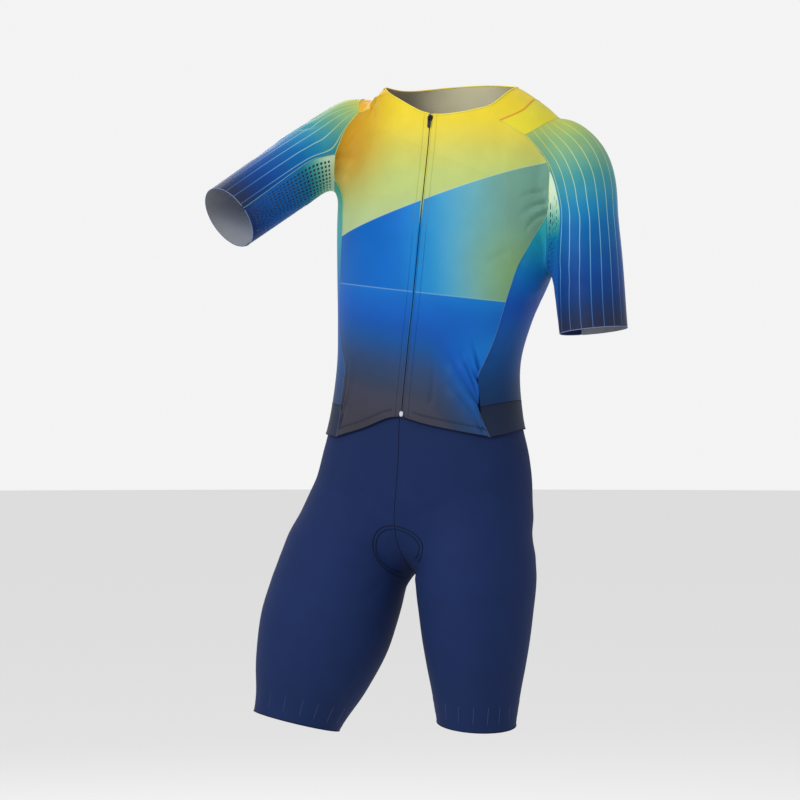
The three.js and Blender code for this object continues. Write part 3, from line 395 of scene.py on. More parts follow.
def give_thickness(piece, inside):
    """Turns the surface into cloth: a thin wall, its reverse in the second finish."""
    piece.data.materials.append(inside)
    wall = piece.modifiers.new("wall", "SOLIDIFY")
    wall.thickness = cloth_thickness
    wall.offset = -1
    wall.material_offset = 1
    select_only(piece)
    bpy.ops.object.modifier_apply(modifier="wall")
    bpy.ops.object.shade_smooth_by_angle(angle=math.radians(50))


def declare_cloth(piece, node):
    """Hangs the piece on the suit's body and hides the part that it stands for."""
    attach(piece, "suit")
    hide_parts(node)


# Slanting edges of the print: height at the middle and rise towards the wearer's left.
upper_edge = (-0.168, 0.32)
lower_edge = (-0.300, -0.12)
tone_edge = (-0.085, -0.42)
edge_softness = 0.0006
edge_line = 0.0011


def height_above(tree, x, z, edge):
    """How far a place is above a slanting edge of the print."""
    slope = calculate(tree, "MULTIPLY", x, -edge[1])
    return calculate(tree, "ADD", calculate(tree, "ADD", z, slope), -edge[0])


def printed_colour(tree, x, z):
    """The jersey's print: yellow above, blue and green between two slanting edges, charcoal at the hem; the
    orange at the right shoulder is deepened by painted shade.
    """
    above_upper = height_above(tree, x, z, upper_edge)
    above_lower = height_above(tree, x, z, lower_edge)
    above_tone = height_above(tree, x, z, tone_edge)
    top = ombre(tree, z, [
        (-0.23, "#b4cda2"), (-0.16, "#bacf86"), (-0.12, "#c2d074"), (-0.085, "#d6d05c"), (-0.05, "#ecd63c"),
        (0.02, "#f4d92a")])
    top = blend(tree, fade(tree, above_tone, 0.0004, -0.0004), top, blend(tree, 0.07, top, linear("#a89a20")))
    # The print is orange at the wearer's right shoulder; this orange is deepened towards the armhole and
    # shoulder as painted shade.
    orange_and_painted_shade = calculate(tree, "MULTIPLY", fade(tree, x, -0.03, -0.13), fade(tree, z, -0.19, -0.08))
    top = blend(tree, calculate(tree, "MULTIPLY", orange_and_painted_shade, 0.85), top, linear("#c4880e"))
    middle = ombre(tree, x, [
        (-0.14, "#0763ba"), (-0.03, "#0970c8"), (0.03, "#3296ce"), (0.08, "#62abbe"), (0.135, "#74a694")])
    green_corner = calculate(tree, "MULTIPLY", fade(tree, x, 0.03, 0.14), fade(tree, z, -0.17, -0.28))
    middle = blend(tree, calculate(tree, "MULTIPLY", green_corner, 0.6), middle, linear("#8ab05c"))
    tilted = calculate(tree, "ADD", z, calculate(tree, "MULTIPLY", x, 0.22))
    dip = calculate(tree, "MULTIPLY", fade(tree, x, 0.0, 0.09), 0.075)
    tilted = calculate(tree, "ADD", tilted, calculate(tree, "MULTIPLY", dip, fade(tree, z, -0.33, -0.40)))
    low = ombre(tree, tilted, [
        (-0.53, "#383742"), (-0.47, "#3a3c4e"), (-0.445, "#2e3c58"), (-0.41, "#264676"), (-0.38, "#12529a"),
        (-0.35, "#0958b4"), (-0.31, "#0a6cc6"), (-0.27, "#1482d0")])
    colour = blend(tree, fade(tree, above_lower, -edge_softness, edge_softness), low, middle)
    colour = blend(tree, fade(tree, above_upper, -edge_softness, edge_softness), colour, top)
    for height, share in ((above_upper, 0.3), (above_lower, 0.2)):
        closeness = fade(tree, calculate(tree, "ABSOLUTE", height), edge_line, edge_line * 0.5)
        colour = blend(tree, calculate(tree, "MULTIPLY", closeness, share), colour, linear("#c4ead8"))
    return colour


jersey_print, tree, shader = new_material("jersey_print", 0.5, specular_ior_level=0.1, sheen_weight=0.04)
coordinates, x, y, z = place_of(tree)
finish_knit(tree, shader, coordinates, printed_colour(tree, x, z))

# The reverse of printed cloth is nearly white, with the print showing faintly through.
jersey_reverse, tree, shader = new_material("jersey_reverse", 0.75, specular_ior_level=0.1)
coordinates, x, y, z = place_of(tree)
pale_print = blend(tree, 0.62, printed_colour(tree, x, z), linear("#dfe3e6"))
finish_knit(tree, shader, coordinates, pale_print)


def make_cloth(piece, node, outside, inside, creases=(), levels=3):
    """Finishes a cloth piece from its outer side: smooth, creased, a thin wall with its two finishes."""
    refine(piece, levels)
    press_creases(piece, creases)
    remember_skin(piece, node)
    piece.data.materials.append(outside)
    give_thickness(piece, inside)
    declare_cloth(piece, node)


# Creases that the hips and the side seam pull across the fronts: start, end, bow, half breadth, height.
FRONT_LEFT_CREASES = [
    ((0.0770, -0.0690, -0.4110), (0.0690, -0.0745, -0.3720), 0.001, 0.0022, -0.0044),
    ((0.0740, -0.0715, -0.4150), (0.0620, -0.0780, -0.3780), 0.001, 0.0024, 0.0022),
    ((0.0810, -0.0700, -0.4700), (0.0540, -0.0830, -0.3880), 0.003, 0.0026, -0.0056),
    ((0.0800, -0.0705, -0.4620), (0.0600, -0.0800, -0.3960), 0.002, 0.0024, 0.0034),
    ((0.0830, -0.0695, -0.4900), (0.0430, -0.0850, -0.4020), 0.004, 0.0026, -0.0052),
    ((0.0830, -0.0695, -0.4960), (0.0480, -0.0840, -0.4300), 0.003, 0.0024, 0.0030),
    ((0.0830, -0.0695, -0.5010), (0.0380, -0.0880, -0.4330), 0.003, 0.0026, -0.0042),
    ((0.0840, -0.0690, -0.5050), (0.0480, -0.0860, -0.4600), 0.002, 0.0028, -0.0026),
    ((0.0780, -0.0700, -0.4300), (0.0570, -0.0810, -0.4020), 0.002, 0.0024, -0.0036),
    ((0.1740, -0.0500, -0.1700), (0.1450, -0.0780, -0.1880), 0.003, 0.0030, -0.0034),
    ((0.1760, -0.0480, -0.1860), (0.1540, -0.0700, -0.2100), 0.003, 0.0030, -0.0034),
    ((0.1720, -0.0540, -0.1540), (0.1480, -0.0840, -0.1650), 0.003, 0.0032, -0.0026),
    ((0.1750, -0.0490, -0.1780), (0.1520, -0.0750, -0.1980), 0.003, 0.0026, 0.0018),
    ((0.1250, -0.0850, -0.2440), (0.1000, -0.0950, -0.2600), 0.002, 0.0060, -0.0012),
    ((0.0120, -0.0930, -0.4600), (0.0160, -0.0960, -0.4000), 0.001, 0.0040, -0.0010),
]
FRONT_RIGHT_CREASES = [
    ((-0.1410, -0.0780, -0.4710), (-0.1320, -0.0765, -0.4000), 0.003, 0.0024, -0.0044),
    ((-0.1440, -0.0785, -0.4980), (-0.1350, -0.0760, -0.4250), 0.002, 0.0026, -0.0040),
    ((-0.1400, -0.0785, -0.4750), (-0.1260, -0.0840, -0.4200), 0.002, 0.0028, 0.0026),
    ((-0.1440, -0.0785, -0.4900), (-0.1260, -0.0850, -0.4450), 0.002, 0.0028, -0.0022),
    ((-0.0880, -0.0360, 0.0020), (-0.0860, -0.0700, -0.0440), 0.003, 0.0026, -0.0036),
    ((-0.0900, -0.0360, 0.0010), (-0.0960, -0.0700, -0.0450), -0.002, 0.0026, 0.0026),
    ((-0.0920, -0.0360, 0.0000), (-0.1060, -0.0640, -0.0380), -0.003, 0.0026, -0.0042),
    ((-0.0800, -0.0420, 0.0010), (-0.0650, -0.0720, -0.0400), 0.003, 0.0028, -0.0030),
    ((-0.1000, -0.0420, -0.0060), (-0.1190, -0.0600, -0.0320), -0.002, 0.0028, 0.0026),
    ((-0.0840, -0.0400, 0.0010), (-0.0760, -0.0720, -0.0400), 0.002, 0.0024, 0.0022),
    ((-0.1400, -0.0950, -0.0950), (-0.1060, -0.0960, -0.0920), 0.003, 0.0055, -0.0026),
    ((-0.1420, -0.0930, -0.1150), (-0.1130, -0.0970, -0.1260), 0.003, 0.0060, -0.0020),
]
for node, creases in (("front_left", FRONT_LEFT_CREASES), ("front_right", FRONT_RIGHT_CREASES)):
    make_cloth(
        outer_side(node), node, jersey_print, jersey_reverse,
        creases=creases
    )

# The back: one panel of the same printed knit, side seam to side seam, from the neck to the hem band. The
# print runs on round it. The lower back and the shoulder blades draw a few shallow cross folds.
BACK_CREASES = [
    ((-0.1300, 0.0700, -0.4200), (-0.0300, 0.0800, -0.4320), 0.006, 0.0060, -0.0036),
    ((0.0900, 0.0600, -0.4050), (0.0050, 0.0750, -0.4140), 0.005, 0.0065, -0.0034),
    ((-0.1250, 0.0700, -0.4450), (-0.0650, 0.0800, -0.4520), 0.004, 0.0050, 0.0024),
    ((0.0850, 0.0600, -0.4300), (0.0250, 0.0750, -0.4450), -0.004, 0.0050, -0.0026),
    ((-0.1280, 0.0650, -0.3900), (-0.0600, 0.0780, -0.4050), 0.005, 0.0060, -0.0026),
    ((0.0950, 0.0560, -0.3800), (0.0400, 0.0720, -0.3850), -0.004, 0.0060, 0.0018),
    ((-0.1400, 0.0550, -0.1500), (-0.0900, 0.0850, -0.1900), 0.006, 0.0060, -0.0034),
    ((-0.1350, 0.0600, -0.1250), (-0.0800, 0.0850, -0.1500), 0.006, 0.0050, 0.0024),
    ((-0.1320, 0.0580, -0.1080), (-0.0900, 0.0820, -0.1220), 0.004, 0.0050, -0.0028),
    ((-0.1400, 0.0550, -0.1750), (-0.1100, 0.0800, -0.2200), 0.005, 0.0060, -0.0024),
    ((0.1450, 0.0550, -0.1900), (0.1000, 0.0800, -0.2280), 0.005, 0.0060, -0.0030),
    ((0.1480, 0.0500, -0.1600), (0.1150, 0.0800, -0.1820), 0.004, 0.0050, -0.0026),
    ((0.1420, 0.0560, -0.2200), (0.1150, 0.0780, -0.2560), 0.004, 0.0060, 0.0018),
]
make_cloth(
    outer_side("back"), "back", jersey_print, jersey_reverse,
    creases=BACK_CREASES, levels=2
)

# The side panels: narrow printed panels under the arms, teal at the armpit, then blue, then nearly navy.
side_print = dyed_knit("side_print", 0.5, "z", [
    (-0.46, "#06305c"), (-0.41, "#044280"), (-0.36, "#0552a2"), (-0.31, "#0459ba"), (-0.26, "#0f86c4"),
    (-0.215, "#26aab8"), (-0.16, "#44b49c")], specular_ior_level=0.1, sheen_weight=0.04)
SIDE_CREASES = [
    ((0.1250, -0.0850, -0.2440), (0.1700, -0.0300, -0.2460), 0.004, 0.0050, -0.0020),
    ((0.1370, -0.0690, -0.2610), (0.1660, -0.0200, -0.2700), 0.004, 0.0050, -0.0016),
    ((0.1630, -0.0440, -0.2240), (0.1740, -0.0100, -0.2360), 0.003, 0.0045, -0.0018),
    ((0.0920, -0.0650, -0.4000), (0.1150, -0.0300, -0.3850), 0.003, 0.0055, -0.0016),
]
make_cloth(
    outer_side("side_panel_left"), "side_panel_left", side_print, jersey_reverse,
    creases=SIDE_CREASES, levels=2
)
make_cloth(
    outer_side("side_panel_right"), "side_panel_right", side_print, jersey_reverse,
    levels=2
)

# The hem band: a plain navy strip under the side panels and the back that grips the hips.
hem_navy = dyed_knit(
    "hem_navy", 0.62, "z", [(-0.51, "#1b2844"), (-0.45, "#17233c")], specular_ior_level=0.1, sheen_weight=0.04
)
BAND_CREASES = [
    ((0.0930, -0.0700, -0.4610), (0.1130, -0.0330, -0.4580), 0.001, 0.0030, -0.0012),
    ((0.0900, -0.0700, -0.4700), (0.1050, -0.0450, -0.4660), 0.001, 0.0030, 0.0008),
]
make_cloth(
    outer_side("hem_band"), "hem_band", hem_navy, hem_navy,
    creases=BAND_CREASES, levels=2
)

# The yokes: a small yellow panel over each shoulder, between the neck, the front, the back and the sleeve.
yoke_yellow = dyed_knit("yoke_yellow", 0.55, "x", [
    (-0.16, "#eba91e"), (-0.07, "#f0cf24"), (0.06, "#f2dc2e"), (0.17, "#e6dc3c")],
    specular_ior_level=0.1, sheen_weight=0.04)
make_cloth(
    outer_side("yoke_left"), "yoke_left", yoke_yellow, jersey_reverse
)
make_cloth(
    outer_side("yoke_right"), "yoke_right", yoke_yellow, jersey_reverse
)


# The sleeves: their outer part is a dense knit with fine raised stripes that run from the yoke to the cuff,
# printed from green through teal and blue to a navy cuff.
def crosswise_shares(cloth, fixed):
    """Shares that run evenly across a piece from one fixed edge to the other, whatever its faces' sizes."""
    ties = np.zeros((len(cloth.verts), len(cloth.verts)))
    for face in cloth.faces:
        ring = list(face.verts)
        for k in range(len(ring)):
            corner = [ring[k - 1], ring[k], ring[(k + 1) % len(ring)]]
            for turn in range(3):
                tip, one, other = corner[turn], corner[turn - 1], corner[turn - 2]
                to_one = one.co - tip.co
                to_other = other.co - tip.co
                tie = to_one.dot(to_other) / to_one.cross(to_other).length
                ties[one.index, other.index] += tie
                ties[other.index, one.index] += tie
    pull = np.diag(ties.sum(axis=1)) - ties
    held = sorted(fixed)
    free = [k for k in range(len(cloth.verts)) if k not in fixed]
    shares = np.zeros(len(cloth.verts))
    shares[held] = [fixed[k] for k in held]
    shares[free] = np.linalg.solve(pull[np.ix_(free, free)], -pull[np.ix_(free, held)] @ shares[held])
    return shares


def lay_lengthwise(piece, cuff, shoulder, corners=(), top_count=0, cuff_count=0):
    """Maps a sleeve piece: U counts its lengthwise stripes, V goes from 0 at the cuff to 1 at the top."""
    cloth = bmesh.new()
    cloth.from_mesh(piece.data)
    shares = np.zeros(len(cloth.verts))
    if corners:
        following = {}
        for edge in cloth.edges:
            if edge.is_boundary:
                loop = edge.link_loops[0]
                following[loop.vert] = loop.link_loop_next.vert
        marks = [min(following, key=lambda vertex: (vertex.co - Vector(corner)).length) for corner in corners]
        fixed = {}
        for share, (first, last) in enumerate((marks[:2], marks[2:])):
            for start, goal in ((first, last), (last, first)):
                walk = [start]
                while walk[-1] is not goal:
                    walk.append(following[walk[-1]])
                if not set(walk[1:-1]) & set(marks):
                    fixed.update({vertex.index: float(share) for vertex in walk})
        shares = crosswise_shares(cloth, fixed)
    arm = Vector(shoulder) - Vector(cuff)
    layer = cloth.loops.layers.uv.new("cloth")
    for face in cloth.faces:
        for loop in face.loops:
            u = shares[loop.vert.index]
            v = (loop.vert.co - Vector(cuff)).dot(arm) / arm.length_squared
            count = v * (0.9 + top_count * u) + (1 - v) * (0.5 + cuff_count * u)
            loop[layer].uv = (count, v)
    cloth.to_mesh(piece.data)
    cloth.free()


sleeve_fade = [
    (0.0, "#2a2d48"), (0.09, "#1f2f54"), (0.18, "#0c3878"), (0.30, "#044694"), (0.42, "#035aa2"),
    (0.54, "#0570b0"), (0.66, "#2a8eb2"), (0.78, "#50a09c"), (0.88, "#7cb08a"), (0.97, "#9bbe7a"),
    (1.08, "#c6cc50")]


def sleeve_shares(tree):
    """How many stripes a place is from the front edge, and how far it is from the cuff to the top."""
    parts = add_node(tree, "ShaderNodeSeparateXYZ", {0: add_node(tree, "ShaderNodeTexCoord").outputs["UV"]})
    return parts.outputs[0], parts.outputs[1]


sleeve_print, tree, shader = new_material("sleeve_print", 0.5, specular_ior_level=0.1, sheen_weight=0.04)
coordinates, x, y, z = place_of(tree)
stripes, along = sleeve_shares(tree)
sleeve_colour = ombre(tree, along, sleeve_fade)
to_stripe = calculate(tree, "PINGPONG", stripes, 0.5)
stripe = fade(tree, to_stripe, 0.046, 0.026)
pale = ombre(tree, along, [
    (0.0, "#5d6ea0"), (0.2, "#4f8fd0"), (0.5, "#9fd8e0"), (0.75, "#cfe8b0"), (1.0, "#ece878")])
sleeve_colour = blend(tree, calculate(tree, "MULTIPLY", stripe, 0.7), sleeve_colour, pale)
finish_knit(tree, shader, coordinates, sleeve_colour)

sleeve_reverse, tree, shader = new_material("sleeve_reverse", 0.75, specular_ior_level=0.1)
coordinates, x, y, z = place_of(tree)
stripes, along = sleeve_shares(tree)
reverse_colour = blend(tree, 0.45, ombre(tree, along, sleeve_fade), linear("#dfe3e6"))
finish_knit(tree, shader, coordinates, reverse_colour)

LEFT_ARM = ((0.227, 0.0, -0.368), (0.190, 0.0, -0.060))
RIGHT_ARM = ((-0.262, -0.232, -0.190), (-0.150, -0.020, -0.050))
SLEEVE_LEFT_CREASES = [
    ((0.1700, -0.0300, -0.0850), (0.2150, -0.0400, -0.1150), 0.006, 0.0080, -0.0014),
    ((0.2000, -0.0480, -0.2700), (0.2450, -0.0350, -0.2950), 0.005, 0.0080, -0.0010),
    ((0.2300, 0.0350, -0.1700), (0.2500, 0.0200, -0.2100), 0.004, 0.0080, -0.0014),
]
SLEEVE_RIGHT_CREASES = [
    ((-0.2080, -0.0870, -0.0370), (-0.1750, -0.0700, -0.0200), 0.004, 0.0060, -0.0018),
    ((-0.1900, -0.1060, -0.0510), (-0.1600, -0.0900, -0.0380), 0.004, 0.0060, -0.0024),
    ((-0.2200, -0.1250, -0.0700), (-0.1950, -0.0800, -0.0330), 0.004, 0.0070, 0.0012),
    ((-0.2450, -0.1600, -0.1000), (-0.2150, -0.1300, -0.0700), 0.004, 0.0080, -0.0012),
]
LEFT_CORNERS = [
    (0.149, -0.067, -0.072), (0.188, -0.029, -0.360), (0.152, 0.059, -0.070), (0.198, 0.034, -0.361)]
RIGHT_CORNERS = [
    (-0.126, -0.054, -0.026), (-0.219, -0.246, -0.179), (-0.128, 0.050, -0.039), (-0.243, -0.197, -0.231)]
for node, (cuff, shoulder), corners, creases, cut in (
    ("sleeve_left", LEFT_ARM, LEFT_CORNERS, SLEEVE_LEFT_CREASES, (0.21, 0.37)),
    ("sleeve_right", RIGHT_ARM, RIGHT_CORNERS, SLEEVE_RIGHT_CREASES, (0.21, 0.36)),
):
    piece = outer_side(node)
    refine(piece, 1)
    lay_lengthwise(piece, cuff, shoulder, corners, 13, 14)
    make_cloth(
        piece, node, sleeve_print, sleeve_reverse, creases=creases, levels=2
    )

# The open knit inside each arm: rows of small round holes, as large as a match head near the armhole.
mesh_knit, tree, shader = new_material("mesh_knit", 0.55, specular_ior_level=0.1, sheen_weight=0.04)
coordinates, x, y, z = place_of(tree)
stripes, along = sleeve_shares(tree)
mesh_colour = ombre(tree, along, [
    (0.0, "#16204a"), (0.08, "#123a78"), (0.2, "#0654a4"), (0.4, "#0866ae"), (0.5, "#1c84a2"),
    (0.58, "#70bcae"), (0.66, "#cdeccc"), (0.8, "#e0f0c8"), (1.1, "#e2e480")])
finish_knit(tree, shader, coordinates, mesh_colour)


hole_margin = 0.00085
least_cell = 0.0026


def open_holes(piece):
    """Cuts a round hole in each stitch cell, but for those along the seams and the smallest."""
    select_only(piece)
    bpy.ops.object.mode_set(mode="EDIT")
    bpy.ops.mesh.select_all(action="DESELECT")
    cloth = bmesh.from_edit_mesh(piece.data)
    for face in cloth.faces:
        inner = not any(edge.is_boundary for vertex in face.verts for edge in vertex.link_edges)
        face.select = inner and min(edge.calc_length() for edge in face.edges) > least_cell
    bmesh.update_edit_mesh(piece.data)
    bpy.ops.mesh.inset(thickness=hole_margin, use_individual=True, use_even_offset=True)
    bpy.ops.mesh.delete(type="FACE")
    bpy.ops.object.mode_set(mode="OBJECT")
    rounder = piece.modifiers.new("rounder", "SUBSURF")
    rounder.levels = 1
    rounder.render_levels = 1
    rounder.boundary_smooth = "ALL"
    bpy.ops.object.modifier_apply(modifier="rounder")


MESH_RIGHT_CREASES = [
    ((-0.1620, -0.1180, -0.0710), (-0.1400, -0.0950, -0.0780), 0.003, 0.0060, -0.0024),
    ((-0.1670, -0.1350, -0.0870), (-0.1450, -0.1050, -0.1000), 0.003, 0.0060, -0.0020),
    ((-0.1560, -0.1180, -0.0800), (-0.1380, -0.0980, -0.0900), 0.003, 0.0050, 0.0012),
]
for node, (cuff, shoulder), creases, cut in (
    ("sleeve_mesh_left", LEFT_ARM, [], (0.11, 0.24)),
    ("sleeve_mesh_right", RIGHT_ARM, MESH_RIGHT_CREASES, (0.11, 0.25)),
):
    piece = outer_side(node)
    lay_lengthwise(piece, cuff, shoulder)
    refine(piece, 1)
    press_creases(piece, creases)
    remember_skin(piece, node)
    open_holes(piece)
    piece.data.materials.append(mesh_knit)
    give_thickness(piece, mesh_knit)
    declare_cloth(piece, node)

# The shorts: two legs of matt navy knit joined by the centre seam, with a seat pad sewn inside whose edge
# shows through, and a grip band printed with short dashes round each leg's hem.
shorts_navy = dyed_knit("shorts_navy", 0.7, "z", [
    (-0.95, "#1b2c56"), (-0.7, "#1c2e5c"), (-0.44, "#1a2a54")], specular_ior_level=0.06, sheen_weight=0.01)
SHORT_RIGHT_CREASES = [
    ((-0.0300, -0.0700, -0.6900), (-0.0480, -0.0850, -0.6600), 0.003, 0.0035, -0.0020),
    ((-0.0350, -0.0600, -0.7100), (-0.1000, -0.0950, -0.7050), 0.006, 0.0080, -0.0020),
    ((-0.0600, -0.0880, -0.6200), (-0.1300, -0.0880, -0.5900), 0.008, 0.0100, -0.0014),
    ((-0.0500, -0.0700, -0.7300), (-0.1050, -0.0900, -0.7550), 0.006, 0.0080, -0.0016),
    ((-0.1500, -0.0700, -0.5800), (-0.1250, -0.0850, -0.5000), 0.006, 0.0120, -0.0012),
    ((-0.0600, 0.0850, -0.6800), (-0.1500, 0.0700, -0.6500), 0.010, 0.0080, -0.0026),
    ((-0.0700, 0.0750, -0.7050), (-0.1500, 0.0550, -0.6950), 0.008, 0.0070, -0.0020),
]
SHORT_LEFT_CREASES = [
    ((-0.0200, -0.0640, -0.6950), (0.0300, -0.0880, -0.6750), 0.005, 0.0080, -0.0018),
    ((-0.0200, -0.0500, -0.7100), (0.0250, -0.0850, -0.7150), 0.005, 0.0080, -0.0018),
    ((0.0000, -0.0900, -0.6200), (0.0600, -0.0850, -0.5950), 0.006, 0.0100, -0.0012),
    ((0.0900, -0.0450, -0.7800), (0.0600, -0.0720, -0.7950), 0.005, 0.0090, -0.0010),
    ((-0.0200, 0.0800, -0.6800), (0.0600, 0.0750, -0.6600), -0.008, 0.0080, -0.0024),
    ((-0.0100, 0.0700, -0.7050), (0.0500, 0.0650, -0.7000), -0.006, 0.0070, -0.0018),
]
make_cloth(
    outer_side("short_left"), "short_left", shorts_navy, shorts_navy,
    creases=SHORT_LEFT_CREASES
)
make_cloth(
    outer_side("short_right"), "short_right", shorts_navy, shorts_navy,
    creases=SHORT_RIGHT_CREASES
)

# The seams: the pieces' edges are joined edge to edge with a flat cover stitch of fine thread, which shows
# as one narrow raised line, a shade lighter or darker than the cloth.
seam_reach = 0.0028
rim_pitch = 0.001


def on_cloth(point, nodes):
    """The nearest place on the named cloth pieces, and the cloth's outward direction there."""
    hits = [skins[node].find_nearest(Vector(point)) for node in nodes]
    place, normal = min(hits, key=lambda hit: hit[3])[:2]
    return np.array(place), np.array(normal)


def rim_tree(nodes):
    """A search tree of places a millimetre apart all along the rims of the named pieces."""
    loops = [loop for node in nodes for loop, normals in rims[node]]
    points = [point for loop in loops for point in even(np.concatenate([loop, loop[:1]]), rim_pitch, 0)]
    tree = KDTree(len(points))
    for k, point in enumerate(points):
        tree.insert(point, k)
    tree.balance()
    return tree


def run_of(node, wanted):
    """The longest unbroken run of a piece's rim whose points are wanted, in order."""
    longest = []
    source = rims[node][0]
    for points, normals in rims[node]:
        flags = [bool(wanted(point)) for point in points]
        if all(flags):
            run = list(range(len(flags))) + [0]
            if len(run) > len(longest):
                longest, source = run, (points, normals)
            continue
        start = flags.index(False)
        run = []
        for k in [(start + step) % len(flags) for step in range(len(flags) + 1)]:
            if flags[k]:
                run.append(k)
                continue
            if len(run) > len(longest):
                longest, source = run, (points, normals)
            run = []
    return source[0][longest], source[1][longest]


def seam_run(first, second):
    """The run of one piece's rim that lies along another's, moved to the middle between the two."""
    tree = rim_tree([second])
    points, normals = run_of(first, lambda point: tree.find(point)[2] < seam_reach)
    middles = np.array([(point + np.array(tree.find(point)[0])) / 2 for point in points])
    return middles, normals


def even(points, pitch, smoothing=2):
    """The same line with its points a pitch apart, lightly smoothed."""
    steps = np.linalg.norm(np.diff(points, axis=0), axis=1)
    places_along = np.concatenate([[0], np.cumsum(steps)])
    count = max(2, int(round(places_along[-1] / pitch)) + 1)
    wanted = np.linspace(0, places_along[-1], count)
    line = np.stack([np.interp(wanted, places_along, points[:, k]) for k in range(3)], axis=1)
    for _ in range(smoothing):
        line[1:-1] = line[1:-1] / 2 + (line[:-2] + line[2:]) / 4
    return line


def make_thread(name, points, radius, finish, pitch=0.0035):
    """A round thread or rolled edge along a line, as a mesh that rides on the suit."""
    line = even(points, pitch)
    bpy.ops.object.select_all(action="DESELECT")
    bpy.ops.curve.primitive_nurbs_path_add(location=(0, 0, 0))
    thread = bpy.context.object
    thread.name = name
    thread.data.splines.clear()
    spline = thread.data.splines.new("POLY")
    spline.points.add(len(line) - 1)
    for point, place in zip(spline.points, line):
        point.co = (*place, 1)
    thread.data.bevel_depth = radius
    thread.data.bevel_resolution = 1
    thread.data.use_fill_caps = True
    bpy.ops.object.convert(target="MESH")
    thread = bpy.context.object
    thread.data.materials.clear()
    thread.data.materials.append(finish)
    bpy.ops.object.shade_smooth()
    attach(thread, "suit")
    return thread


seam_radius = 0.00055
# The light seams' thread is paler than the cloth beside it: partly its own colour, partly a painted highlight
# along the raised line.
seam_thread_and_highlight = dyed_knit("seam_thread_and_highlight", 0.6, "z", [
    (-0.47, "#344a74"), (-0.38, "#2a64a4"), (-0.3, "#2f80bc"), (-0.22, "#5aa4a4"), (-0.15, "#a4c478"),
    (-0.05, "#dcd24a")])
seam_blue = dyed_knit("seam_blue", 0.6, "z", [
    (-0.36, "#2a4a80"), (-0.22, "#3c8cba"), (-0.06, "#8cc0a8")], specular_ior_level=0.1)
seam_dark = dyed_knit("seam_dark", 0.7, "z", [(-0.9, "#0e1730"), (-0.44, "#0c142a")], specular_ior_level=0.1)
seam_orange = dyed_knit("seam_orange", 0.6, "z", [(-0.06, "#f4a414"), (0.02, "#f6a818")])

SEAMS = [
    ("front_left", "side_panel_left", seam_thread_and_highlight), ("front_right", "side_panel_right", seam_thread_and_highlight),
    ("back", "side_panel_left", seam_thread_and_highlight), ("back", "side_panel_right", seam_thread_and_highlight),
    ("front_left", "sleeve_mesh_left", seam_thread_and_highlight), ("front_right", "sleeve_mesh_right", seam_thread_and_highlight),
    ("front_left", "sleeve_left", seam_thread_and_highlight), ("front_right", "sleeve_right", seam_thread_and_highlight),
    ("back", "sleeve_left", seam_thread_and_highlight), ("back", "sleeve_right", seam_thread_and_highlight),
    ("sleeve_left", "sleeve_mesh_left", seam_blue), ("sleeve_right", "sleeve_mesh_right", seam_blue),
    ("side_panel_left", "sleeve_mesh_left", seam_blue), ("side_panel_right", "sleeve_mesh_right", seam_blue),
    ("front_left", "yoke_left", seam_thread_and_highlight), ("front_right", "yoke_right", seam_thread_and_highlight),
    ("back", "yoke_left", seam_thread_and_highlight), ("back", "yoke_right", seam_thread_and_highlight),
    ("yoke_left", "sleeve_left", seam_thread_and_highlight), ("yoke_right", "sleeve_right", seam_thread_and_highlight),
    ("hem_band", "back", seam_dark), ("hem_band", "side_panel_left", seam_dark),
    ("hem_band", "side_panel_right", seam_dark), ("hem_band", "front_left", seam_thread_and_highlight),
    ("hem_band", "front_right", seam_thread_and_highlight), ("short_left", "short_right", seam_dark),
]
for first, second, finish in SEAMS:
    points, normals = seam_run(first, second)
    make_thread(f"seam_{first}_{second}", points, seam_radius, finish)

free_distance = 0.0026


def free_run(node, wanted):
    """The run of a piece's rim that meets no other cloth piece, where the point is wanted."""
    others = rim_tree([other for other in rims if other != node])
    return run_of(node, lambda point: wanted(point) and others.find(point)[2] > free_distance)


def chain(runs):
    """Several runs end to end, each turned the right way round."""
    if np.linalg.norm(runs[0][0] - runs[1][[0, -1]], axis=1).min() < np.linalg.norm(
        runs[0][-1] - runs[1][[0, -1]], axis=1
    ).min():
        runs[0] = runs[0][::-1]
    line = runs[0]
    for run in runs[1:]:
        if np.linalg.norm(line[-1] - run[0]) > np.linalg.norm(line[-1] - run[-1]):
            run = run[::-1]
        line = np.concatenate([line, run])
    return line


# The neck: a narrow binding of the yellow cloth rolled over the edge all round, from zip to zip.
neck_foot = -0.045
zip_left = 0.011
zip_right = 0.005
binding_radius = 0.0012
binding_yellow = dyed_knit("binding_yellow", 0.55, "x", [
    (-0.12, "#f0b838"), (-0.04, "#f4e050"), (0.1, "#f4e658")], specular_ior_level=0.1, sheen_weight=0.04)
neck_runs = [
    free_run("front_left", lambda p: p[2] > neck_foot and p[0] > zip_left)[0],
    free_run("back", lambda p: p[2] > neck_foot)[0],
    free_run("front_right", lambda p: p[2] > neck_foot and p[0] < zip_right)[0],
]
make_thread("neck_binding", chain(neck_runs), binding_radius, binding_yellow)


# The hems: sleeve cuffs with a pale raw edge, the jersey's hem turned up and cover-stitched in two rows, and
# the legs' hems bonded flat.
def row_inside(node, points, normals, distance):
    """A line on the cloth at a distance inside a run of its rim."""
    tangents = np.gradient(points, axis=0)
    aside = np.cross(normals, tangents)
    aside /= np.linalg.norm(aside, axis=1)[:, None]
    lines = []
    for sign in (1, -1):
        moved = points + aside * sign * distance
        laid = np.array([on_cloth(point, [node])[0] for point in moved])
        lines.append((np.linalg.norm(laid - moved, axis=1).sum(), sign, laid))
    return min(lines, key=lambda line: line[0])[2]


stitch_size = (0.0026, 0.0008, 0.0008)


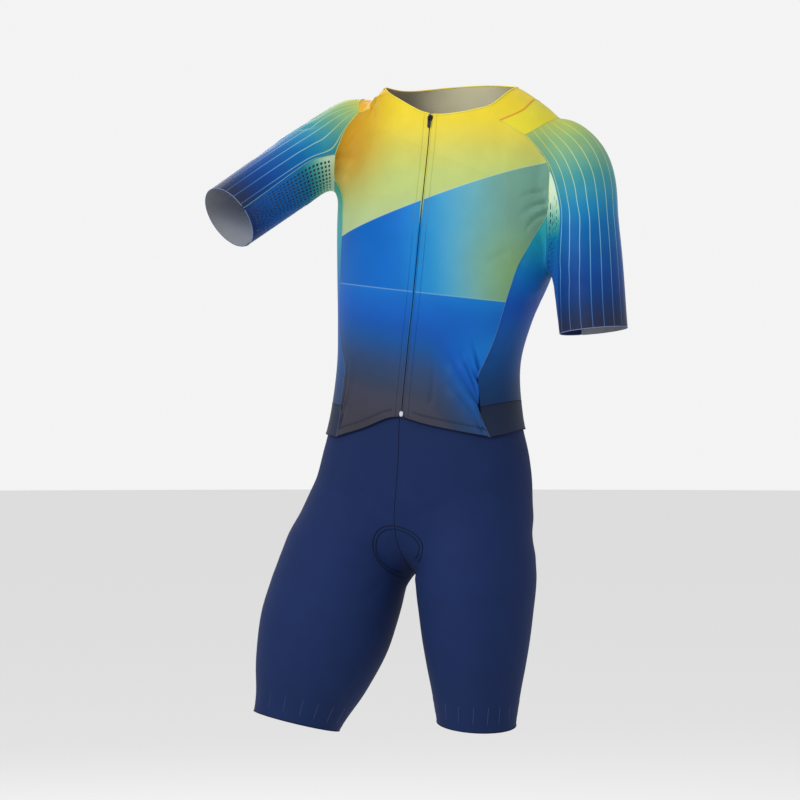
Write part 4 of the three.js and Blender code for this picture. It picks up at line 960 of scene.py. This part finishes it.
def sew(name, node, line, finish, size=stitch_size, pitch=0.0036):
    """A row of separate stitches that lie on the cloth along a line; size is along, across and high."""
    bpy.ops.object.select_all(action="DESELECT")
    bpy.ops.mesh.primitive_uv_sphere_add(segments=6, ring_count=4, radius=1, location=(0, 0, 0))
    stitch = bpy.context.object
    shape = places(stitch.data) * np.array(size) / 2
    faces = [tuple(face.vertices) for face in stitch.data.polygons]
    spots = even(line, pitch)
    middles = (spots[1:] + spots[:-1]) / 2
    all_points = []
    all_faces = []
    for k, middle in enumerate(middles):
        place, normal = on_cloth(middle, [node])
        along = spots[k + 1] - spots[k]
        along -= normal * along.dot(normal)
        along /= np.linalg.norm(along)
        frame_here = np.array([along, np.cross(normal, along), normal])
        all_points.append(shape @ frame_here + place + normal * size[2] * 0.15)
        all_faces += [tuple(corner + k * len(shape) for corner in face) for face in faces]
    row = bpy.data.meshes.new(name)
    row.from_pydata(np.concatenate(all_points).tolist(), [], all_faces)
    row.materials.append(finish)
    stitch.data = row
    stitch.name = name
    bpy.ops.object.shade_smooth()
    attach(stitch, "suit")


cuff_span = 0.11
cuff_edge_radius = 0.0006
cuff_edge = dyed_knit("cuff_edge", 0.7, "z", [(-0.36, "#7f88ae"), (-0.2, "#7082ac")], specular_ior_level=0.1)
for node, (cuff, shoulder) in (
    ("sleeve_left", LEFT_ARM), ("sleeve_mesh_left", LEFT_ARM),
    ("sleeve_right", RIGHT_ARM), ("sleeve_mesh_right", RIGHT_ARM),
):
    points, normals = free_run(node, lambda p: np.linalg.norm(p - np.array(cuff)) < cuff_span)
    make_thread(f"edge_{node}", points, cuff_edge_radius, cuff_edge)

hem_top = -0.38
zip_reach = 0.009
foot_height = -0.474
fold_radius = 0.0007
hem_rows = (0.0105, 0.0125)
rows_end = 0.016
for node, across in (("front_left", "front_right"), ("front_right", "front_left"), ("hem_band", "hem_band")):
    facing = rim_tree([across])
    points, normals = free_run(node, lambda p: p[2] < hem_top and (
        node == "hem_band" or p[2] < foot_height or facing.find(p)[2] > zip_reach))
    make_thread(f"hem_fold_{node}", points, fold_radius, seam_dark)
    if node != "hem_band":
        clear = np.array([facing.find(point)[2] > rows_end for point in points])
        for row, distance in enumerate(hem_rows):
            line = row_inside(node, points[clear], normals[clear], distance)
            sew(f"hem_stitches_{node}_{row}", node, line, seam_dark)

leg_hem_top = -0.88
leg_hem_radius = 0.0008
grip_start = 0.013
grip_step = 0.0025
grip_steps = 11
grip_dashes = 18
grip_radius = 0.0004
grip_print = dyed_knit(
    "grip_print", 0.45, "z", [(-0.94, "#33457c"), (-0.90, "#2c3e74")], specular_ior_level=0.3
)
for node in ("short_left", "short_right"):
    points, normals = free_run(node, lambda p: p[2] < leg_hem_top)
    make_thread(f"leg_hem_{node}", points, leg_hem_radius, seam_dark)
    rows = [row_inside(node, points, normals, grip_start + grip_step * step) for step in range(grip_steps)]
    spots = np.linspace(0, len(points) - 1, grip_dashes + 1).astype(int)[:-1]
    dashes = []
    for k in spots:
        line = np.array([row[k] for row in rows])
        dashes.append(make_thread(f"grip_{node}", line, grip_radius, grip_print))
    bpy.ops.object.select_all(action="DESELECT")
    for dash in dashes:
        dash.select_set(True)
    bpy.context.view_layer.objects.active = dashes[0]
    bpy.ops.object.join()

# The orange accent: a short cover-stitch over the left yoke's edge, and the same on the right.
accent_radius = 0.0013
for side in ("left", "right"):
    points, normals = seam_run(f"front_{side}", f"yoke_{side}")
    inmost = np.argmin(np.abs(points[:, 0]))
    upper, lower = points[inmost:], points[:inmost + 1]
    if upper[-1][2] < lower[0][2]:
        upper = lower
    make_thread(f"accent_{side}", upper, accent_radius, seam_orange)

# The seat pad: sewn inside, so that only its two rows of stitches show on the front of the shorts.
PAD_OUTER = [
    (-0.066, -0.025, -0.725), (-0.071, -0.060, -0.716), (-0.082, -0.080, -0.701), (-0.087, -0.086, -0.682),
    (-0.089, -0.088, -0.673), (-0.088, -0.089, -0.662), (-0.079, -0.091, -0.647), (-0.064, -0.092, -0.643),
    (-0.048, -0.093, -0.642), (-0.028, -0.089, -0.649), (-0.009, -0.084, -0.664), (-0.005, -0.082, -0.677),
    (-0.011, -0.077, -0.689), (-0.028, -0.064, -0.699)]
PAD_INNER = [
    (-0.062, -0.035, -0.718), (-0.067, -0.062, -0.711), (-0.077, -0.080, -0.698), (-0.0825, -0.086, -0.681),
    (-0.0845, -0.088, -0.671), (-0.083, -0.088, -0.662), (-0.076, -0.089, -0.652), (-0.063, -0.090, -0.648),
    (-0.049, -0.091, -0.647), (-0.031, -0.088, -0.654), (-0.015, -0.082, -0.667), (-0.011, -0.080, -0.677),
    (-0.017, -0.075, -0.687), (-0.031, -0.064, -0.695)]
outline_pitch = 0.012
laid_pitch = 0.004
pad_radius = 0.0007
legs = ["short_left", "short_right"]
for name, outline in (("outer", PAD_OUTER), ("inner", PAD_INNER)):
    curve = even(even(np.array(outline), outline_pitch), laid_pitch)
    laid = np.array([on_cloth(point, legs)[0] for point in curve])
    make_thread(f"pad_{name}", laid, pad_radius, seam_dark)

# The zip: woven tapes behind the fronts' edges, one row of moulded teeth, a slider with a small pull tab, and
# a metal stop at the foot. The fronts' edges are turned in and stitched down beside it.
tape_black = dyed_knit("tape_black", 0.8, "z", [(-0.5, "#101116"), (0, "#14151b")], specular_ior_level=0.1)


def worn_finish(name, roughness, colour, worn, smoothest, **sockets):
    """The finish of a small hard piece, with a fine grain and lighter rubbed patches."""
    material, tree, shader = new_material(name, roughness, **sockets)
    coordinates = place_of(tree)[0]
    grain = add_node(tree, "ShaderNodeTexNoise", {"Vector": coordinates, "Scale": 1800, "Detail": 2})
    rubbing = add_node(tree, "ShaderNodeTexNoise", {"Vector": coordinates, "Scale": 320, "Detail": 3})
    rubbed = fade(tree, rubbing.outputs[0], 0.5, 0.72)
    tree.links.new(blend(tree, rubbed, linear(colour), linear(worn)), shader.inputs["Base Color"])
    gloss = calculate(tree, "MULTIPLY", grain.outputs[0], 0.2)
    tree.links.new(calculate(tree, "ADD", gloss, smoothest), shader.inputs["Roughness"])
    bump = add_node(
        tree, "ShaderNodeBump", {"Strength": 0.15, "Distance": stitch_rise, "Height": grain.outputs[0]}
    )
    tree.links.new(bump.outputs[0], shader.inputs["Normal"])
    return material


teeth_black = worn_finish("teeth_black", 0.5, "#0c0d11", "#24262e", 0.45, specular_ior_level=0.15)
slider_black = worn_finish("slider_black", 0.35, "#17191e", "#34373e", 0.25, metallic=0.6)
stop_bright = worn_finish("stop_bright", 0.3, "#a4a7b0", "#c8cad2", 0.22, metallic=0.9)
for node, finish in (
    ("zip_tape_left", tape_black), ("zip_tape_right", tape_black), ("zip_coil", teeth_black),
    ("zip_slider", slider_black), ("zip_pull", slider_black), ("zip_retainer", stop_bright)
):
    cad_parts[node].data.materials.clear()
    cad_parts[node].data.materials.append(finish)
# The turned-in edges beside the zip are paler than the print next to them: a painted highlight along the
# fold.
placket_edge_highlight = dyed_knit("placket_edge_highlight", 0.55, "z", [
    (-0.48, "#4a4c5c"), (-0.43, "#3f4a66"), (-0.38, "#2a5a94"), (-0.3, "#1f78c4"), (-0.2, "#2a88c8"),
    (-0.165, "#b8c878"), (-0.04, "#ecd850")], specular_ior_level=0.1)
# The stitch rows beside the zip are darker than the print: partly the thread's colour, partly painted shade
# for the pressed groove, which is not modelled.
placket_stitch_and_shade = dyed_knit("placket_stitch_and_shade", 0.6, "z", [
    (-0.48, "#20242e"), (-0.42, "#1c2a4a"), (-0.34, "#0c4080"), (-0.22, "#1560a0"), (-0.16, "#a8a850"),
    (-0.04, "#c8a830")], specular_ior_level=0.1)
zip_gap = 0.012
upright_share = 0.7
placket_radius = 0.0009
placket_overlap = 0.0003
placket_row = 0.0085
tooth_size = (0.0008, 0.0022, 0.0010)
tooth_pitch = 0.0014
tooth_shift = 0.0004
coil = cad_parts["zip_coil"].data
skins["zip_coil"] = BVHTree.FromPolygons(
    [vertex.co for vertex in coil.vertices], [tuple(face.vertices) for face in coil.polygons]
)
for side, other in (("left", "right"), ("right", "left")):
    node = f"front_{side}"
    other_rim = rim_tree([f"front_{other}"])
    points, normals = run_of(node, lambda point: other_rim.find(point)[2] < zip_gap)
    steps = np.gradient(points, axis=0)
    upright = np.abs(steps[:, 2]) > upright_share * np.linalg.norm(steps, axis=1)
    points = points[upright]
    normals = normals[upright]
    towards_zip = np.array([other_rim.find(point)[0] for point in points]) - points
    towards_zip /= np.linalg.norm(towards_zip, axis=1)[:, None]
    make_thread(f"placket_edge_highlight_{side}", points + towards_zip * placket_overlap, placket_radius, placket_edge_highlight)
    sew(f"placket_stitches_{side}", node, row_inside(node, points, normals, placket_row), placket_stitch_and_shade)
    middles = np.array([(point + np.array(other_rim.find(point)[0])) / 2 for point in points])
    teeth = np.array([on_cloth(point, ["zip_coil"])[0] for point in even(middles, 0.004)])
    shift = tooth_shift if side == "left" else -tooth_shift
    row = even(teeth, 0.002) + (shift, 0, shift)
    sew(f"zip_teeth_{side}", "zip_coil", row, teeth_black, tooth_size, tooth_pitch)
